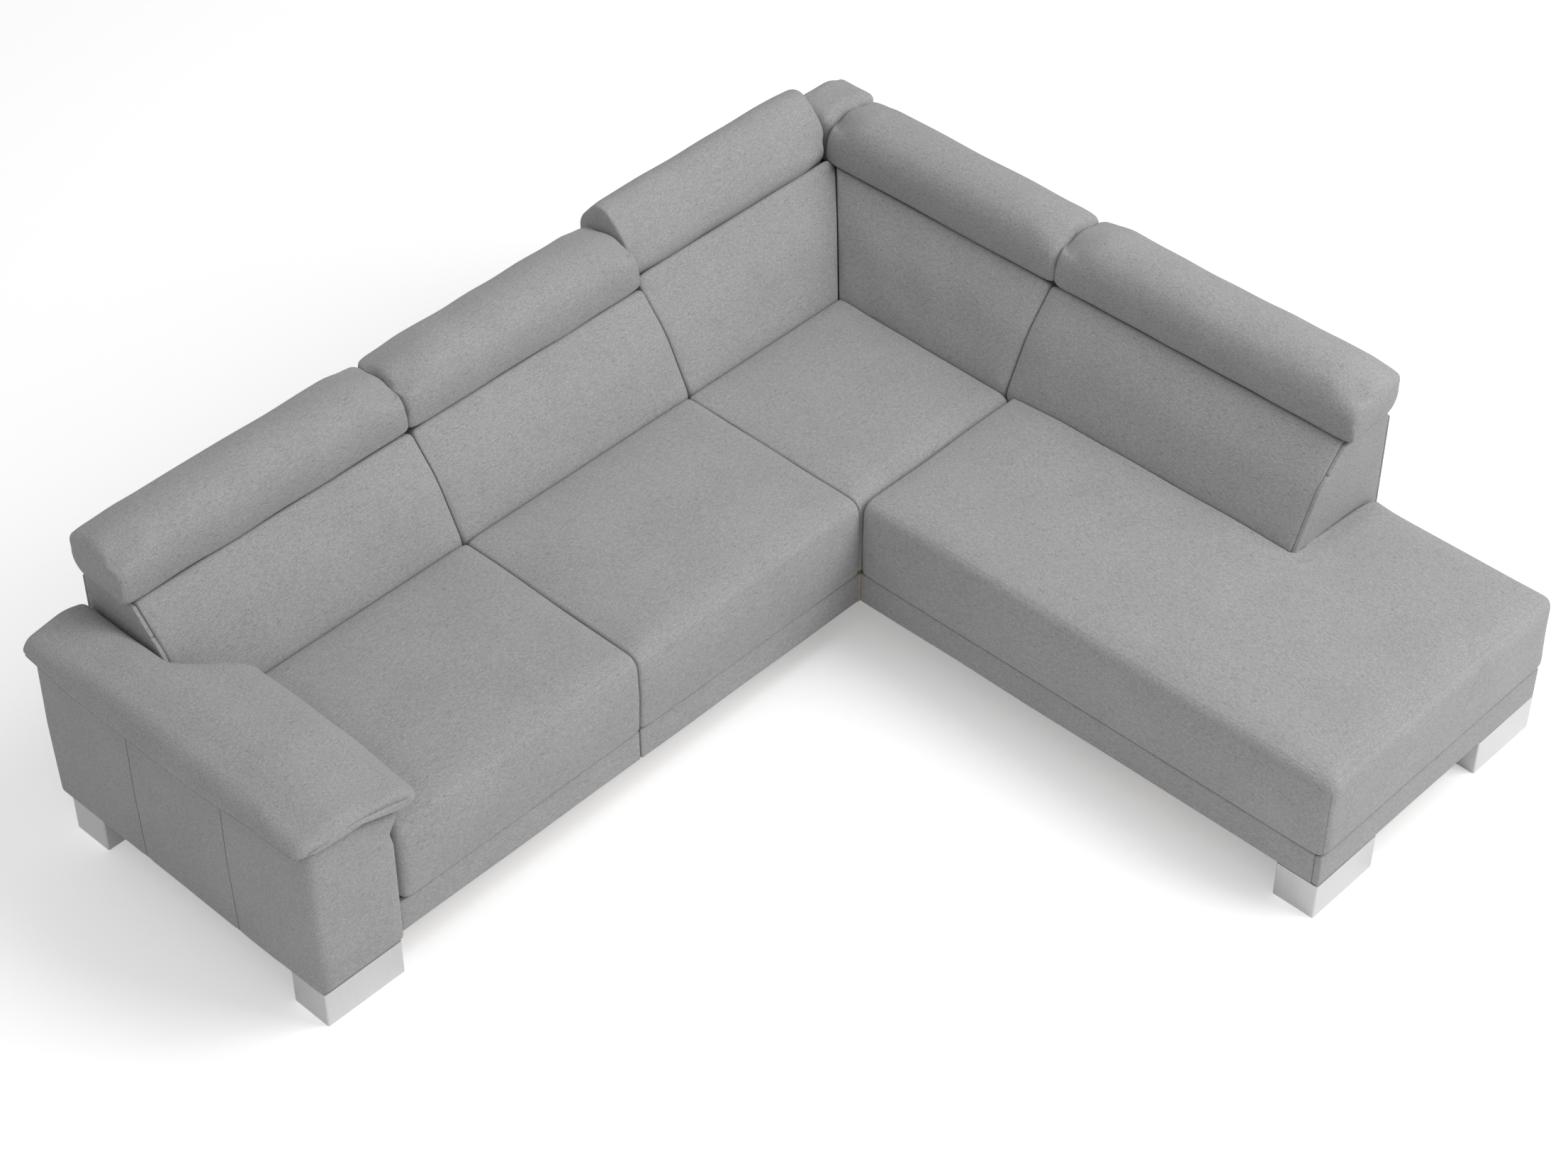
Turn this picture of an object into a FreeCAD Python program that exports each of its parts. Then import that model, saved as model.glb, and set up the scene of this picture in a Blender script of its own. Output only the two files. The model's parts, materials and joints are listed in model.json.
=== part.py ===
import FreeCAD, Part
import math
import os
import re
import Sketcher
from FreeCAD import Placement, Rotation, Vector

# Corner sofa with five folding headrests.
#
# The main wing lies along X and faces the front, at minus Y. The side wing lies along Y and faces
# left, at minus X, and its seat runs on past the back as an open ottoman. Both wings are laid out
# from one corner axis, a little inside the rear corner. Across a wing, minus is towards the sitter
# and plus is towards the rear. The side wing is the main wing turned a quarter turn about that axis.

# Driving dimensions in millimetres and degrees, each written once
SIZES = {
    # heights
    "foot_height": 106.0,
    "plinth_height": 97.0,
    "rail_height": 93.0,
    "seat_seam": 426.0,
    "seat_rear_top": 458.0,
    "seat_crown": 12.0,
    "seat_bulge": 7.0,
    "seat_draw": 10.0,
    "seat_round": 34.0,
    # wings, from the corner axis
    "main_length": 2726.0,
    "side_length": 2394.0,
    "main_depth": 929.0,
    "side_depth": 895.0,
    "rear_reach": 43.0,
    "open_end_reach": 24.0,
    "arm_rear_width": 176.0,
    "open_length": 553.0,
    "split_lead_main": 15.0,
    "split_lead_side": 29.0,
    # armrest
    "arm_width": 251.0,
    "arm_front_reach": 16.0,
    "arm_top": 566.0,
    "arm_shoulder": 126.0,
    "arm_inner_top": 512.0,
    "arm_belly": 30.0,
    "arm_waist": 472.0,
    "arm_padding": 20.0,
    "pad_overhang": 31.0,
    "pad_front_reach": 14.0,
    "pad_rear_reach": 35.0,
    "pad_top": 640.0,
    "pad_inner_reach": 80.0,
    "pad_widens_at": 285.0,
    "pad_wide_from": 490.0,
    # back form
    "back_foot": 314.0,
    "back_foot_top": 456.0,
    "back_foot_bottom": 300.0,
    "back_belly": 236.0,
    "back_belly_height": 612.0,
    "back_rim": 135.0,
    "back_top": 700.0,
    "back_heel": 45.0,
    "back_heel_height": 655.0,
    "back_draw": 12.0,
    "back_round": 22.0,
    # headrests, from the hinge axis, in the folded position
    "hinge_depth": 20.0,
    "hinge_height": 810.0,
    "headrest_front": 125.0,
    "headrest_rear": 79.0,
    "headrest_under": 103.0,
    "headrest_over": 54.0,
    "headrest_round": 32.0,
    "headrest_heel": 66.0,
    "headrest_draw": 5.0,
    "headrest_crown": 20.0,
    "headrest_lift": 46.0,
    "headrest_overhang": 18.0,
    "headrest_corner_clear": 150.0,
    "headrest_side_clear": 102.0,
    # corner block
    "block_left": 136.0,
    "block_front": 97.0,
    "block_height": 146.0,
    "block_draw": 14.0,
    # boards, fittings and fabric
    "timber": 25.0,
    "ply": 12.0,
    "panel": 6.0,
    "plinth_board": 20.0,
    "plinth_setback": 9.0,
    "cloth": 1.5,
    "spring_wire": 4.0,
    "spring_swing": 24.0,
    "spring_pitch": 44.0,
    "spring_spacing": 190.0,
    "strap_width": 50.0,
    "strap_thickness": 2.0,
    "strap_spacing": 100.0,
    "plate": 4.0,
    "plate_width": 24.0,
    "hook_height": 60.0,
    "pin_radius": 5.0,
    "hinge_inset": 150.0,
    # feet
    "foot_length": 235.0,
    "foot_width": 120.0,
    "foot_edge": 2.5,
    "foot_inset": 8.0,
    "foot_block": 60.0,
    "support_radius": 30.0,
    "support_inset": 150.0,
    "bolt_radius": 4.0,
    "bolt_length": 50.0,
    # clearances
    "module_gap": 10.0,
    "split_gap": 3.0,
    "soft_gap": 0.4,
    "swing_gap": 3.0,
    "pin_gap": 0.3,
    "slot_gap": 2.0,
    # the corner axis in the part's own frame, worked out from the reaches below
    "axis_x": 0.0,
    "axis_y": 0.0,
}

# Where the backs end and part, so that they follow the wings
FOLLOWS = {
    "back_left_end": "=main_length - arm_rear_width",
    "back_side_end": "=side_length - open_length",
    "back_split_main": "=side_depth - split_lead_main",
    "back_split_side": "=main_depth - split_lead_side",
}

doc = FreeCAD.newDocument("CornerSofa")
sheet = doc.addObject("Spreadsheet::Sheet", "Dims")
CELLS = {}
for row, (alias, value) in enumerate({**SIZES, **FOLLOWS}.items(), start=1):
    CELLS[alias] = f"B{row}"
    sheet.set(f"A{row}", alias)
    sheet.set(CELLS[alias], str(value))
    sheet.setAlias(CELLS[alias], alias)
doc.recompute()


class Named:
    """The sheet's values, read by their names."""

    def __getattr__(self, alias):
        return float(sheet.get(alias))


D = Named()
nodes = {}


def rule(text):
    """A rule in the sheet's aliases, as an expression."""
    def cell(word):
        return "Dims." + word.group(0) if word.group(0) in CELLS else word.group(0)
    return re.sub(r"[a-z][a-z_]*", cell, text)


def keep(item, label):
    """Name an object as one piece of the sofa."""
    item.Label = label
    nodes[label] = item
    return item


def board(name, spans):
    """A straight board between two rules along each of X, Y and Z."""
    item = doc.addObject("Part::Box", name)
    for side, axis, (low, high) in zip(("Length", "Width", "Height"), "xyz", spans):
        item.setExpression(side, rule(f"({high}) - ({low})"))
        start = {"x": "axis_x + ", "y": "axis_y + ", "z": ""}[axis]
        item.setExpression(f"Placement.Base.{axis}", rule(f"{start}({low})"))
    return item


def joined(name, parts):
    """Boards glued into one frame."""
    item = doc.addObject("Part::MultiFuse", name)
    item.Shapes = parts
    item.Refine = True
    return item


def grouped(name, parts):
    """Like pieces that stay separate solids in one node."""
    item = doc.addObject("Part::Compound", name)
    item.Links = parts
    return item


def shaped(name, shape, placement=None):
    """A form made from its outlines, in the corner axis's frame unless placed."""
    item = doc.addObject("Part::Feature", name)
    item.Shape = shape
    item.Placement = placement or on_axis()
    return item


def on_axis():
    """The main wing's frame."""
    return Placement(Vector(D.axis_x, D.axis_y, 0), Rotation())


def on_side():
    """The side wing's frame, a quarter turn about the corner axis."""
    return Placement(Vector(D.axis_x, D.axis_y, 0), Rotation(Vector(0, 0, 1), -90))


def outline(station, start, steps):
    """A closed wire across a wing: a step is a point, or an arc's middle and end."""
    edges = []
    here = Vector(station, *start)
    for step in steps:
        if isinstance(step[0], tuple):
            there = Vector(station, *step[1])
            edges.append(Part.Arc(here, Vector(station, *step[0]), there).toShape())
        else:
            there = Vector(station, *step)
            edges.append(Part.LineSegment(here, there).toShape())
        here = there
    return Part.Wire(edges)


def loft(wires):
    """A closed soft form ruled from each outline to the next."""
    return Part.makeLoft(wires, True, True)


def stations_between(low, high, reach):
    """Places along a soft form: close together in the rounded ends, wide apart between."""
    near = (0.0, 0.12, 0.35, 0.65, 1.0)
    middle = [low + reach + (high - low - 2 * reach) * share for share in (0.25, 0.5, 0.75)]
    return [low + reach * s for s in near] + middle + [high - reach * s for s in reversed(near)]


def drawn_in(place, low, high, reach, soft_low=True, soft_high=True):
    """How far a form is drawn in at a place: 1 at a soft end, and 0 past its reach."""
    share = 0.0
    if soft_low:
        share = max(share, 1 - (place - low) / reach)
    if soft_high:
        share = max(share, 1 - (high - place) / reach)
    return 1 - math.sqrt(1 - min(share, 1.0) ** 2)


def eased(low, high, share):
    """A value that runs smoothly from low to high as share goes from 0 to 1."""
    share = min(max(share, 0.0), 1.0)
    return low + (high - low) * (1 - math.cos(math.pi * share)) / 2


def plane_of(body, role):
    """One of a body's own origin planes."""
    return next(item for item in body.Origin.OriginFeatures if item.Role == role)


def sketch_on(body, role, corners):
    """A closed outline on an origin plane, each corner bound to two rules."""
    sketch = body.newObject("Sketcher::SketchObject", body.Name + "Outline")
    sketch.AttachmentSupport = (plane_of(body, role), [""])
    sketch.MapMode = "FlatFace"
    values = [tuple(measure(text) for text in corner) for corner in corners]
    count = len(corners)
    for index in range(count):
        start = Vector(*values[index], 0)
        end = Vector(*values[(index + 1) % count], 0)
        sketch.addGeometry(Part.LineSegment(start, end), False)
    for index in range(count):
        sketch.addConstraint(Sketcher.Constraint("Coincident", index, 2, (index + 1) % count, 1))
    for index, corner in enumerate(corners):
        for kind, text, value in zip(("DistanceX", "DistanceY"), corner, values[index]):
            place = sketch.addConstraint(Sketcher.Constraint(kind, -1, 1, index, 1, value))
            sketch.setExpression(f"Constraints[{place}]", rule(text))
    return sketch


def measure(text):
    """The value that a rule has now."""
    found = sheet.evalExpression(re.sub("Dims.", "", rule(text)))
    return float(getattr(found, "Value", found))


def padded_out(name, role, corners, length):
    """A body padded from one bound outline."""
    body = doc.addObject("PartDesign::Body", name)
    sketch = sketch_on(body, role, corners)
    pad = body.newObject("PartDesign::Pad", name + "Pad")
    pad.Profile = sketch
    pad.setExpression("Length", rule(length))
    body.Tip = pad
    return body


# Headrest forms, about the hinge axis

def headrest_outline(station, draw, crown):
    """The headrest's section: drawn in at its ends and crowned on its face."""
    front = -(D.headrest_front - draw)
    rear = D.headrest_rear - draw
    under = -(D.headrest_under - draw)
    over = D.headrest_over - crown
    turn = D.headrest_round
    heel = D.headrest_heel
    near = 1 - math.sqrt(0.5)
    return outline(station, (front + turn, under), [
        (rear - heel, under),
        ((rear - heel * near, under + heel * near), (rear, under + heel)),
        ((rear - turn * 0.12, over - turn * 1.6), (rear - turn * 0.6, over - turn * 0.75)),
        (((front + rear) / 2, over), (front + turn * 0.8, over - turn / 2)),
        ((front + turn * 0.25, over - turn), (front, over - turn * 2)),
        (front, under + turn),
        ((front + turn * near, under + turn * near), (front + turn, under)),
    ])


def headrest_form(length):
    """The headrest's cushion as one soft form from 0 to its length."""
    wires = []
    for place in stations_between(0.0, length, D.headrest_round):
        share = drawn_in(place, 0.0, length, D.headrest_round)
        fall = eased(D.headrest_crown, 0.0, min(place, length - place) / D.hinge_inset)
        wires.append(headrest_outline(place, share * D.headrest_draw, fall))
    return loft(wires)


def hinge_stations(length):
    """Where a headrest's two hinges stand along it."""
    return (D.hinge_inset, length - D.hinge_inset)


def headrest_board_box(length, gap):
    """The plywood board under the headrest's face, grown by a gap all round."""
    side = D.headrest_round + D.headrest_crown
    return Part.makeBox(
        length - 2 * side + 2 * gap,
        D.headrest_front + D.headrest_rear - 2 * side + 2 * gap,
        D.ply + 2 * gap,
        Vector(side - gap, side - gap - D.headrest_front, leaf_top() - gap),
    )


def leaf_top():
    """How far the board's underside lies above the hinge axis."""
    return D.plate_width / 2 + D.slot_gap


def hinge_leaf(station):
    """The moving leaf: a plate under the board with the pin riveted to it."""
    plate = Part.makeBox(D.plate, 2 * D.foot_block, D.plate_width / 2 + leaf_top())
    plate.translate(Vector(station, -D.foot_block, -D.plate_width / 2))
    pin = Part.makeCylinder(D.pin_radius, 2 * D.plate + D.pin_gap, Vector(station, 0, 0), Vector(1, 0, 0))
    return plate.fuse(pin).removeSplitter()


def hinge_pocket(station):
    """The room in the cushion for a leaf and for the bracket's whole swing."""
    width = 2 * D.plate + D.pin_gap + 2 * D.slot_gap
    start = station - D.slot_gap
    side = D.foot_block + D.slot_gap
    half = D.plate_width / 2 + D.slot_gap
    reach = 2 * D.headrest_under
    axis = Vector(start, 0, 0)
    along = Vector(1, 0, 0)
    rail = measure(RAIL_FRONT) - D.plate_width / 2 + D.hinge_depth
    lean = math.degrees(math.atan2(rail, D.hinge_height - D.back_top + 2 * D.module_gap))
    parts = [
        Part.makeBox(width, 2 * side, half + leaf_top(), Vector(start, -side, -half)),
        Part.makeCylinder(half, width, axis, along),
    ]
    corners = [axis]
    for share in (0.0, 0.25, 0.5, 0.75, 1.0):
        angle = math.radians(lean - D.headrest_lift * share)
        corners.append(Vector(start, reach * math.sin(angle), -reach * math.cos(angle)))
    parts.append(Part.Face(Part.makePolygon(corners + [axis])).extrude(Vector(width, 0, 0)))
    for turn in (lean, lean - D.headrest_lift):
        stem = Part.makeBox(width, 2 * half, reach, Vector(start, -half, -reach))
        stem.rotate(axis, along, turn)
        parts.append(stem)
    return parts[0].fuse(parts[1:])


def headrest_place(frame, station, lift):
    """A headrest's own frame on its hinge axis, lifted by an angle."""
    seat = Placement(Vector(station, -D.hinge_depth, D.hinge_height), Rotation(Vector(1, 0, 0), lift))
    return frame.multiply(seat)


def headrest_swing(width):
    """The room that a headrest's lip takes under it, from folded to raised."""
    across = D.headrest_front - D.headrest_round
    below = D.headrest_under - D.headrest_round
    reach = math.hypot(across, below) + D.headrest_round + D.swing_gap
    lean = math.degrees(math.atan2(across, below))
    axis = Vector(0, 0, 0)

    def rim(share):
        angle = math.radians(lean - D.headrest_lift * share)
        return Vector(0, -reach * math.sin(angle), -reach * math.cos(angle))

    edges = [
        Part.LineSegment(axis, rim(0.0)).toShape(),
        Part.Arc(rim(0.0), rim(0.5), rim(1.0)).toShape(),
        Part.LineSegment(rim(1.0), axis).toShape(),
    ]
    sector = Part.Face(Part.Wire(edges)).extrude(Vector(width, 0, 0))
    raised = loft([headrest_outline(place, -D.swing_gap, 0.0) for place in (0.0, width)])
    raised.rotate(axis, Vector(1, 0, 0), D.headrest_lift)
    return sector.fuse(raised)


def headrest(number, frame, low, high, lift):
    """One headrest: cushion, board and moving hinge leaves."""
    length = high - low
    place = headrest_place(frame, low, lift)
    cushion = headrest_form(length).cut([headrest_board_box(length, D.soft_gap)])
    leaves = []
    for station in hinge_stations(length):
        cushion = cushion.cut(hinge_pocket(station))
        leaves.append(hinge_leaf(station))
    name = f"Headrest{number}"
    keep(shaped(name + "Cushion", cushion, place), f"headrest_cushion_{number}")
    keep(shaped(name + "Board", headrest_board_box(length, 0.0), place), f"headrest_board_{number}")
    keep(shaped(name + "Leaves", Part.makeCompound(leaves), place), f"headrest_hinge_{number}")


# The corner axis's place, from the model's own reaches
raised = headrest_form(D.main_depth)
raised.rotate(Vector(0, 0, 0), Vector(1, 0, 0), D.headrest_lift)
raised_rear = raised.optimalBoundingBox(False, False).YMax - D.hinge_depth
folded_rear = D.headrest_rear - D.hinge_depth
sheet.set(CELLS["axis_x"], str(round((D.main_length + D.pad_overhang - folded_rear) / 2, 3)))
sheet.set(CELLS["axis_y"], str(round((D.side_length - raised_rear) / 2, 3)))
doc.recompute()

# Rules that several pieces share
FRAME_TOP = "foot_height + rail_height"
SEAT_LEFT = "-(main_length - arm_width - module_gap)"
MAIN_RIGHT = "-(side_depth + module_gap / 2)"
CORNER_LEFT = "-(side_depth - module_gap / 2)"
CORNER_FRONT = "-(main_depth - module_gap)"
SEAT_SPLIT = "-(main_length - arm_width - module_gap + side_depth) / 2"
PLINTH_FRONT = "-(main_depth - plinth_setback)"
PLINTH_SIDE = "-(side_depth - plinth_setback)"
PLINTH_END = "-(side_length - plinth_setback)"
HEEL = "-back_heel"
RAIL_FRONT = "rear_reach - panel - timber"
RAIL_REAR = "rear_reach - panel"
RAIL_TOP = "back_top - module_gap"
POST_TOP = "back_heel_height - module_gap"
SEAT_BASE = FRAME_TOP + " + spring_wire + soft_gap"


# Base frames, springs and plinths

def rails(name, x_low, x_high, y_low, y_high, extra_x=(), extra_y=()):
    """A ring of rails with cross rails at given rules along X or along Y."""
    z_span = ("foot_height", FRAME_TOP)
    parts = [
        board(name + "Left", ((x_low, f"({x_low}) + timber"), (y_low, y_high), z_span)),
        board(name + "Right", ((f"({x_high}) - timber", x_high), (y_low, y_high), z_span)),
        board(name + "Front", ((x_low, x_high), (y_low, f"({y_low}) + timber"), z_span)),
        board(name + "Rear", ((x_low, x_high), (f"({y_high}) - timber", y_high), z_span)),
    ]
    for index, middle in enumerate(extra_x):
        span = (f"({middle}) - timber / 2", f"({middle}) + timber / 2")
        parts.append(board(f"{name}CrossX{index}", (span, (y_low, y_high), z_span)))
    for index, middle in enumerate(extra_y):
        span = (f"({middle}) - timber / 2", f"({middle}) + timber / 2")
        parts.append(board(f"{name}CrossY{index}", ((x_low, x_high), span, z_span)))
    return parts


def foot_blocks(name, spots):
    """Solid blocks in a frame that the feet bolt into."""
    half = "foot_block / 2"
    return [
        board(f"{name}Block{index}", (
            (f"({x}) - {half}", f"({x}) + {half}"),
            (f"({y}) - {half}", f"({y}) + {half}"),
            ("foot_height", FRAME_TOP),
        ))
        for index, (x, y) in enumerate(spots)
    ]


def bolt(name, x, y, gap):
    """An upright bolt, or its hole when it is grown by a gap."""
    item = doc.addObject("Part::Cylinder", name)
    item.setExpression("Radius", rule(f"bolt_radius + {gap}"))
    item.setExpression("Height", rule(f"bolt_length + 2 * {gap}"))
    item.setExpression("Placement.Base.x", rule(f"axis_x + ({x})"))
    item.setExpression("Placement.Base.y", rule(f"axis_y + ({y})"))
    item.setExpression("Placement.Base.z", rule(f"foot_height - bolt_length / 2 - {gap}"))
    return item


def arm_bolt(name, y, gap):
    """A bolt from inside the armrest into the main frame, or its hole."""
    item = doc.addObject("Part::Cylinder", name)
    start = f"{ARM_RIGHT} - arm_padding - 2 * ply"
    item.setExpression("Radius", rule(f"bolt_radius + {gap}"))
    item.setExpression("Height", rule(f"({SEAT_LEFT} + timber + ply) - ({start})"))
    item.Placement = Placement(Vector(), Rotation(Vector(0, 1, 0), 90))
    item.setExpression("Placement.Base.x", rule(f"axis_x + {start}"))
    item.setExpression("Placement.Base.y", rule(f"axis_y + ({y})"))
    item.setExpression("Placement.Base.z", rule("foot_height + rail_height / 2"))
    return item


def drilled(name, solid, spots, sideways=()):
    """A frame or foot with its bolt holes."""
    tools = [bolt(f"{name}Hole{i}", x, y, "pin_gap") for i, (x, y) in enumerate(spots)]
    tools += [arm_bolt(f"{name}Side{i}", y, "pin_gap") for i, y in enumerate(sideways)]
    holes = grouped(name + "Holes", tools)
    item = doc.addObject("Part::Cut", name)
    item.Base = solid
    item.Tool = holes
    return item


def foot_bolts_at(x, y):
    """The two bolts of a foot whose left front corner is at x, y."""
    inset = "(plinth_board + foot_block / 2 + foot_edge)"
    middle = f"({y}) + foot_width / 2"
    return [(f"({x}) + {inset}", middle), (f"({x}) + foot_length - {inset}", middle)]


ARM_LEFT = "-main_length"
ARM_FRONT = "-(main_depth + arm_front_reach)"
ARM_REAR = "pad_rear_reach"
ARM_RIGHT = "-(main_length - arm_width)"
ARM_STEP = "-(back_foot + module_gap)"
ARM_REAR_RIGHT = "-(back_left_end + soft_gap)"

FEET = {
    "foot_arm_front": (f"{ARM_LEFT} + foot_inset", f"{ARM_FRONT} + foot_inset"),
    "foot_arm_rear": (f"{ARM_LEFT} + foot_inset", f"{ARM_REAR} - foot_inset - foot_width - foot_width / 4"),
    "foot_ottoman_front": (PLINTH_SIDE, PLINTH_END),
    "foot_ottoman_rear": ("open_end_reach - plinth_setback - foot_length", PLINTH_END),
    "foot_corner_rear": ("rear_reach - foot_inset - foot_length", "rear_reach - foot_inset - foot_width"),
}
FOOT_BOLTS = {label: foot_bolts_at(*corner) for label, corner in FEET.items()}
outer_bolt, (_, bolt_line) = FOOT_BOLTS["foot_arm_rear"]
inner_bolt = (f"{ARM_REAR_RIGHT} - arm_padding - foot_block / 2", bolt_line)
FOOT_BOLTS["foot_arm_rear"] = [outer_bolt, inner_bolt]

# The armrest is bolted sideways to the main frame's left rail
ARM_BOLTS = ("-main_depth * 0.8", "-main_depth * 0.45")

# Support feet stand under the frames, set back out of sight
SUPPORTS = {
    "main": [
        (SEAT_SPLIT, "-(main_depth - support_inset)"),
        (SEAT_SPLIT, "-support_inset"),
        (f"{MAIN_RIGHT} - foot_block / 2", "-(main_depth - support_inset)"),
    ],
    "corner": [
        ("-(side_depth - support_inset)", f"{CORNER_FRONT} + foot_block / 2"),
        (f"{CORNER_LEFT} + foot_block / 2", "-support_inset"),
    ],
    "ottoman": [
        ("-support_inset", "-(back_side_end + module_gap)"),
    ],
}


def foot(label, x, y):
    """A satin metal block foot with bevelled upright edges and bolt holes."""
    name = "".join(word.capitalize() for word in label.split("_"))
    far_x, far_y = "foot_length", "foot_width"
    body = padded_out(name + "Block", "XY_Plane", [
        ("foot_edge", "0"), (f"{far_x} - foot_edge", "0"),
        (far_x, "foot_edge"), (far_x, f"{far_y} - foot_edge"),
        (f"{far_x} - foot_edge", far_y), ("foot_edge", far_y),
        ("0", f"{far_y} - foot_edge"), ("0", "foot_edge"),
    ], "foot_height")
    body.setExpression("Placement.Base.x", rule(f"axis_x + ({x})"))
    body.setExpression("Placement.Base.y", rule(f"axis_y + ({y})"))
    keep(drilled(name, body, FOOT_BOLTS[label]), label)


def support(name, x, y):
    """A round support foot."""
    item = doc.addObject("Part::Cylinder", name)
    item.setExpression("Radius", rule("support_radius"))
    item.setExpression("Height", rule("foot_height"))
    item.setExpression("Placement.Base.x", rule(f"axis_x + ({x})"))
    item.setExpression("Placement.Base.y", rule(f"axis_y + ({y})"))
    return item


def feet():
    """All feet, and the bolts that hold them and the armrest."""
    for label, corner in FEET.items():
        foot(label, *corner)
    spots = [spot for group in SUPPORTS.values() for spot in group]
    posts = [support(f"Support{index}", *spot) for index, spot in enumerate(spots)]
    keep(drilled("SupportFeet", grouped("SupportPosts", posts), spots), "support_feet")
    spots += [spot for pair in FOOT_BOLTS.values() for spot in pair]
    bolts = [bolt(f"FootBolt{index}", x, y, "0") for index, (x, y) in enumerate(spots)]
    bolts += [arm_bolt(f"ArmBolt{index}", y, "0") for index, y in enumerate(ARM_BOLTS)]
    keep(grouped("FrameBolts", bolts), "frame_bolts")


def base_frame(name, label, parts, spots, sideways=()):
    """One module's glued frame with its foot blocks and bolt holes."""
    blocks = foot_blocks(name, spots)
    keep(drilled(name, joined(name + "Rails", parts + blocks), spots, sideways), label)
    return blocks


def base_frames():
    """The three seat modules' frames, and the cloths under them."""
    inner_front = f"{PLINTH_FRONT} + plinth_board"
    main = rails("MainRail", SEAT_LEFT, MAIN_RIGHT, inner_front, HEEL, extra_x=(SEAT_SPLIT,))
    blocks = base_frame("MainBase", "main_base_frame", main, SUPPORTS["main"], ARM_BOLTS)
    corner = rails("CornerRail", CORNER_LEFT, HEEL, CORNER_FRONT, HEEL, extra_y=("-main_depth / 2",))
    blocks += base_frame("CornerBase", "corner_base_frame", corner, SUPPORTS["corner"])
    inner_side = f"{PLINTH_SIDE} + plinth_board"
    inner_end = f"{PLINTH_END} + plinth_board"
    inner_rear = "open_end_reach - plinth_setback - plinth_board"
    z_span = ("foot_height", FRAME_TOP)
    start = "-(main_depth + module_gap)"
    step = "-(back_side_end + module_gap)"
    ottoman = rails("OttomanRail", inner_side, HEEL, inner_end, start, extra_y=(step,))
    open_x = (HEEL, inner_rear)
    open_y = (inner_end, f"{step} + timber / 2")
    ottoman += [
        board("OttomanOpenRear", ((f"{inner_rear} - timber", inner_rear), open_y, z_span)),
        board("OttomanOpenEnd", (open_x, (inner_end, f"{inner_end} + timber"), z_span)),
        board("OttomanOpenStep", (open_x, (f"{step} - timber / 2", f"{step} + timber / 2"), z_span)),
    ]
    spots = FOOT_BOLTS["foot_ottoman_front"] + FOOT_BOLTS["foot_ottoman_rear"] + SUPPORTS["ottoman"]
    blocks += base_frame("OttomanBase", "ottoman_base_frame", ottoman, spots)
    dust_covers(blocks)


def plinths():
    """The fabric covered boards under the seats."""
    z_span = ("foot_height", "foot_height + plinth_height")
    depth = (PLINTH_FRONT, f"{PLINTH_FRONT} + plinth_board")
    left = (SEAT_LEFT, f"{SEAT_SPLIT} - split_gap / 2")
    right = (f"{SEAT_SPLIT} + split_gap / 2", f"{CORNER_LEFT} - soft_gap")
    keep(board("PlinthOne", (left, depth, z_span)), "plinth_seat_1")
    keep(board("PlinthTwo", (right, depth, z_span)), "plinth_seat_2")
    rear = "open_end_reach - plinth_setback"
    front = (PLINTH_SIDE, f"{PLINTH_SIDE} + plinth_board")
    end = (PLINTH_END, f"{PLINTH_END} + plinth_board")
    length = (f"{PLINTH_END} + plinth_board", f"{PLINTH_FRONT} - split_gap")
    keep(board("PlinthSide", (front, length, z_span)), "plinth_ottoman_front")
    keep(board("PlinthEnd", ((PLINTH_SIDE, rear), end, z_span)), "plinth_ottoman_end")
    open_length = (f"{PLINTH_END} + plinth_board", "-(back_side_end + split_gap)")
    keep(board("PlinthRear", ((f"{rear} - plinth_board", rear), open_length, z_span)), "plinth_ottoman_rear")


def zigzag(length):
    """One flat sinuous spring from 0 along Y, as wide as its swing."""
    turns = int(length // D.spring_pitch)
    step = length / turns
    points = [Vector(0, 0, 0)]
    for index in range(turns):
        side = D.spring_swing if index % 2 else -D.spring_swing
        points.append(Vector(side, (index + 0.2) * step, 0))
        points.append(Vector(side, (index + 0.8) * step, 0))
    points.append(Vector(0, length, 0))
    flat = Part.makePolygon(points).makeOffset2D(D.spring_wire / 2, 0, True, True)
    return flat.extrude(Vector(0, 0, D.spring_wire))


def spring_row(x_low, x_high, y_low, y_high):
    """Sinuous springs side by side between two rails."""
    count = max(1, round((x_high - x_low) / D.spring_spacing))
    spacing = (x_high - x_low) / count
    one = zigzag(y_high - y_low)
    row = []
    for index in range(count):
        copy = one.copy()
        copy.translate(Vector(x_low + (index + 0.5) * spacing, y_low, D.foot_height + D.rail_height))
        row.append(copy)
    return row


def springs():
    """The seat springs of each module."""
    front = measure(f"{PLINTH_FRONT} + plinth_board + timber / 2")
    rear = measure(f"{HEEL} - timber / 2")
    half = D.timber / 2
    left, split = measure(SEAT_LEFT), measure(SEAT_SPLIT)
    main = spring_row(left, split - half, front, rear)
    main += spring_row(split + half, measure(MAIN_RIGHT), front, rear)
    keep(shaped("MainSprings", Part.makeCompound(main)), "main_seat_springs")
    corner_front = measure(f"{CORNER_FRONT} + timber / 2")
    corner = spring_row(measure(CORNER_LEFT), rear, corner_front, rear)
    keep(shaped("CornerSprings", Part.makeCompound(corner)), "corner_seat_springs")
    ottoman = spring_row(
        D.main_depth + D.module_gap,
        measure("side_length - plinth_setback - plinth_board"),
        measure(f"{PLINTH_SIDE} + plinth_board + timber / 2"),
        rear,
    )
    keep(shaped("OttomanSprings", Part.makeCompound(ottoman), on_side()), "ottoman_seat_springs")


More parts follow.
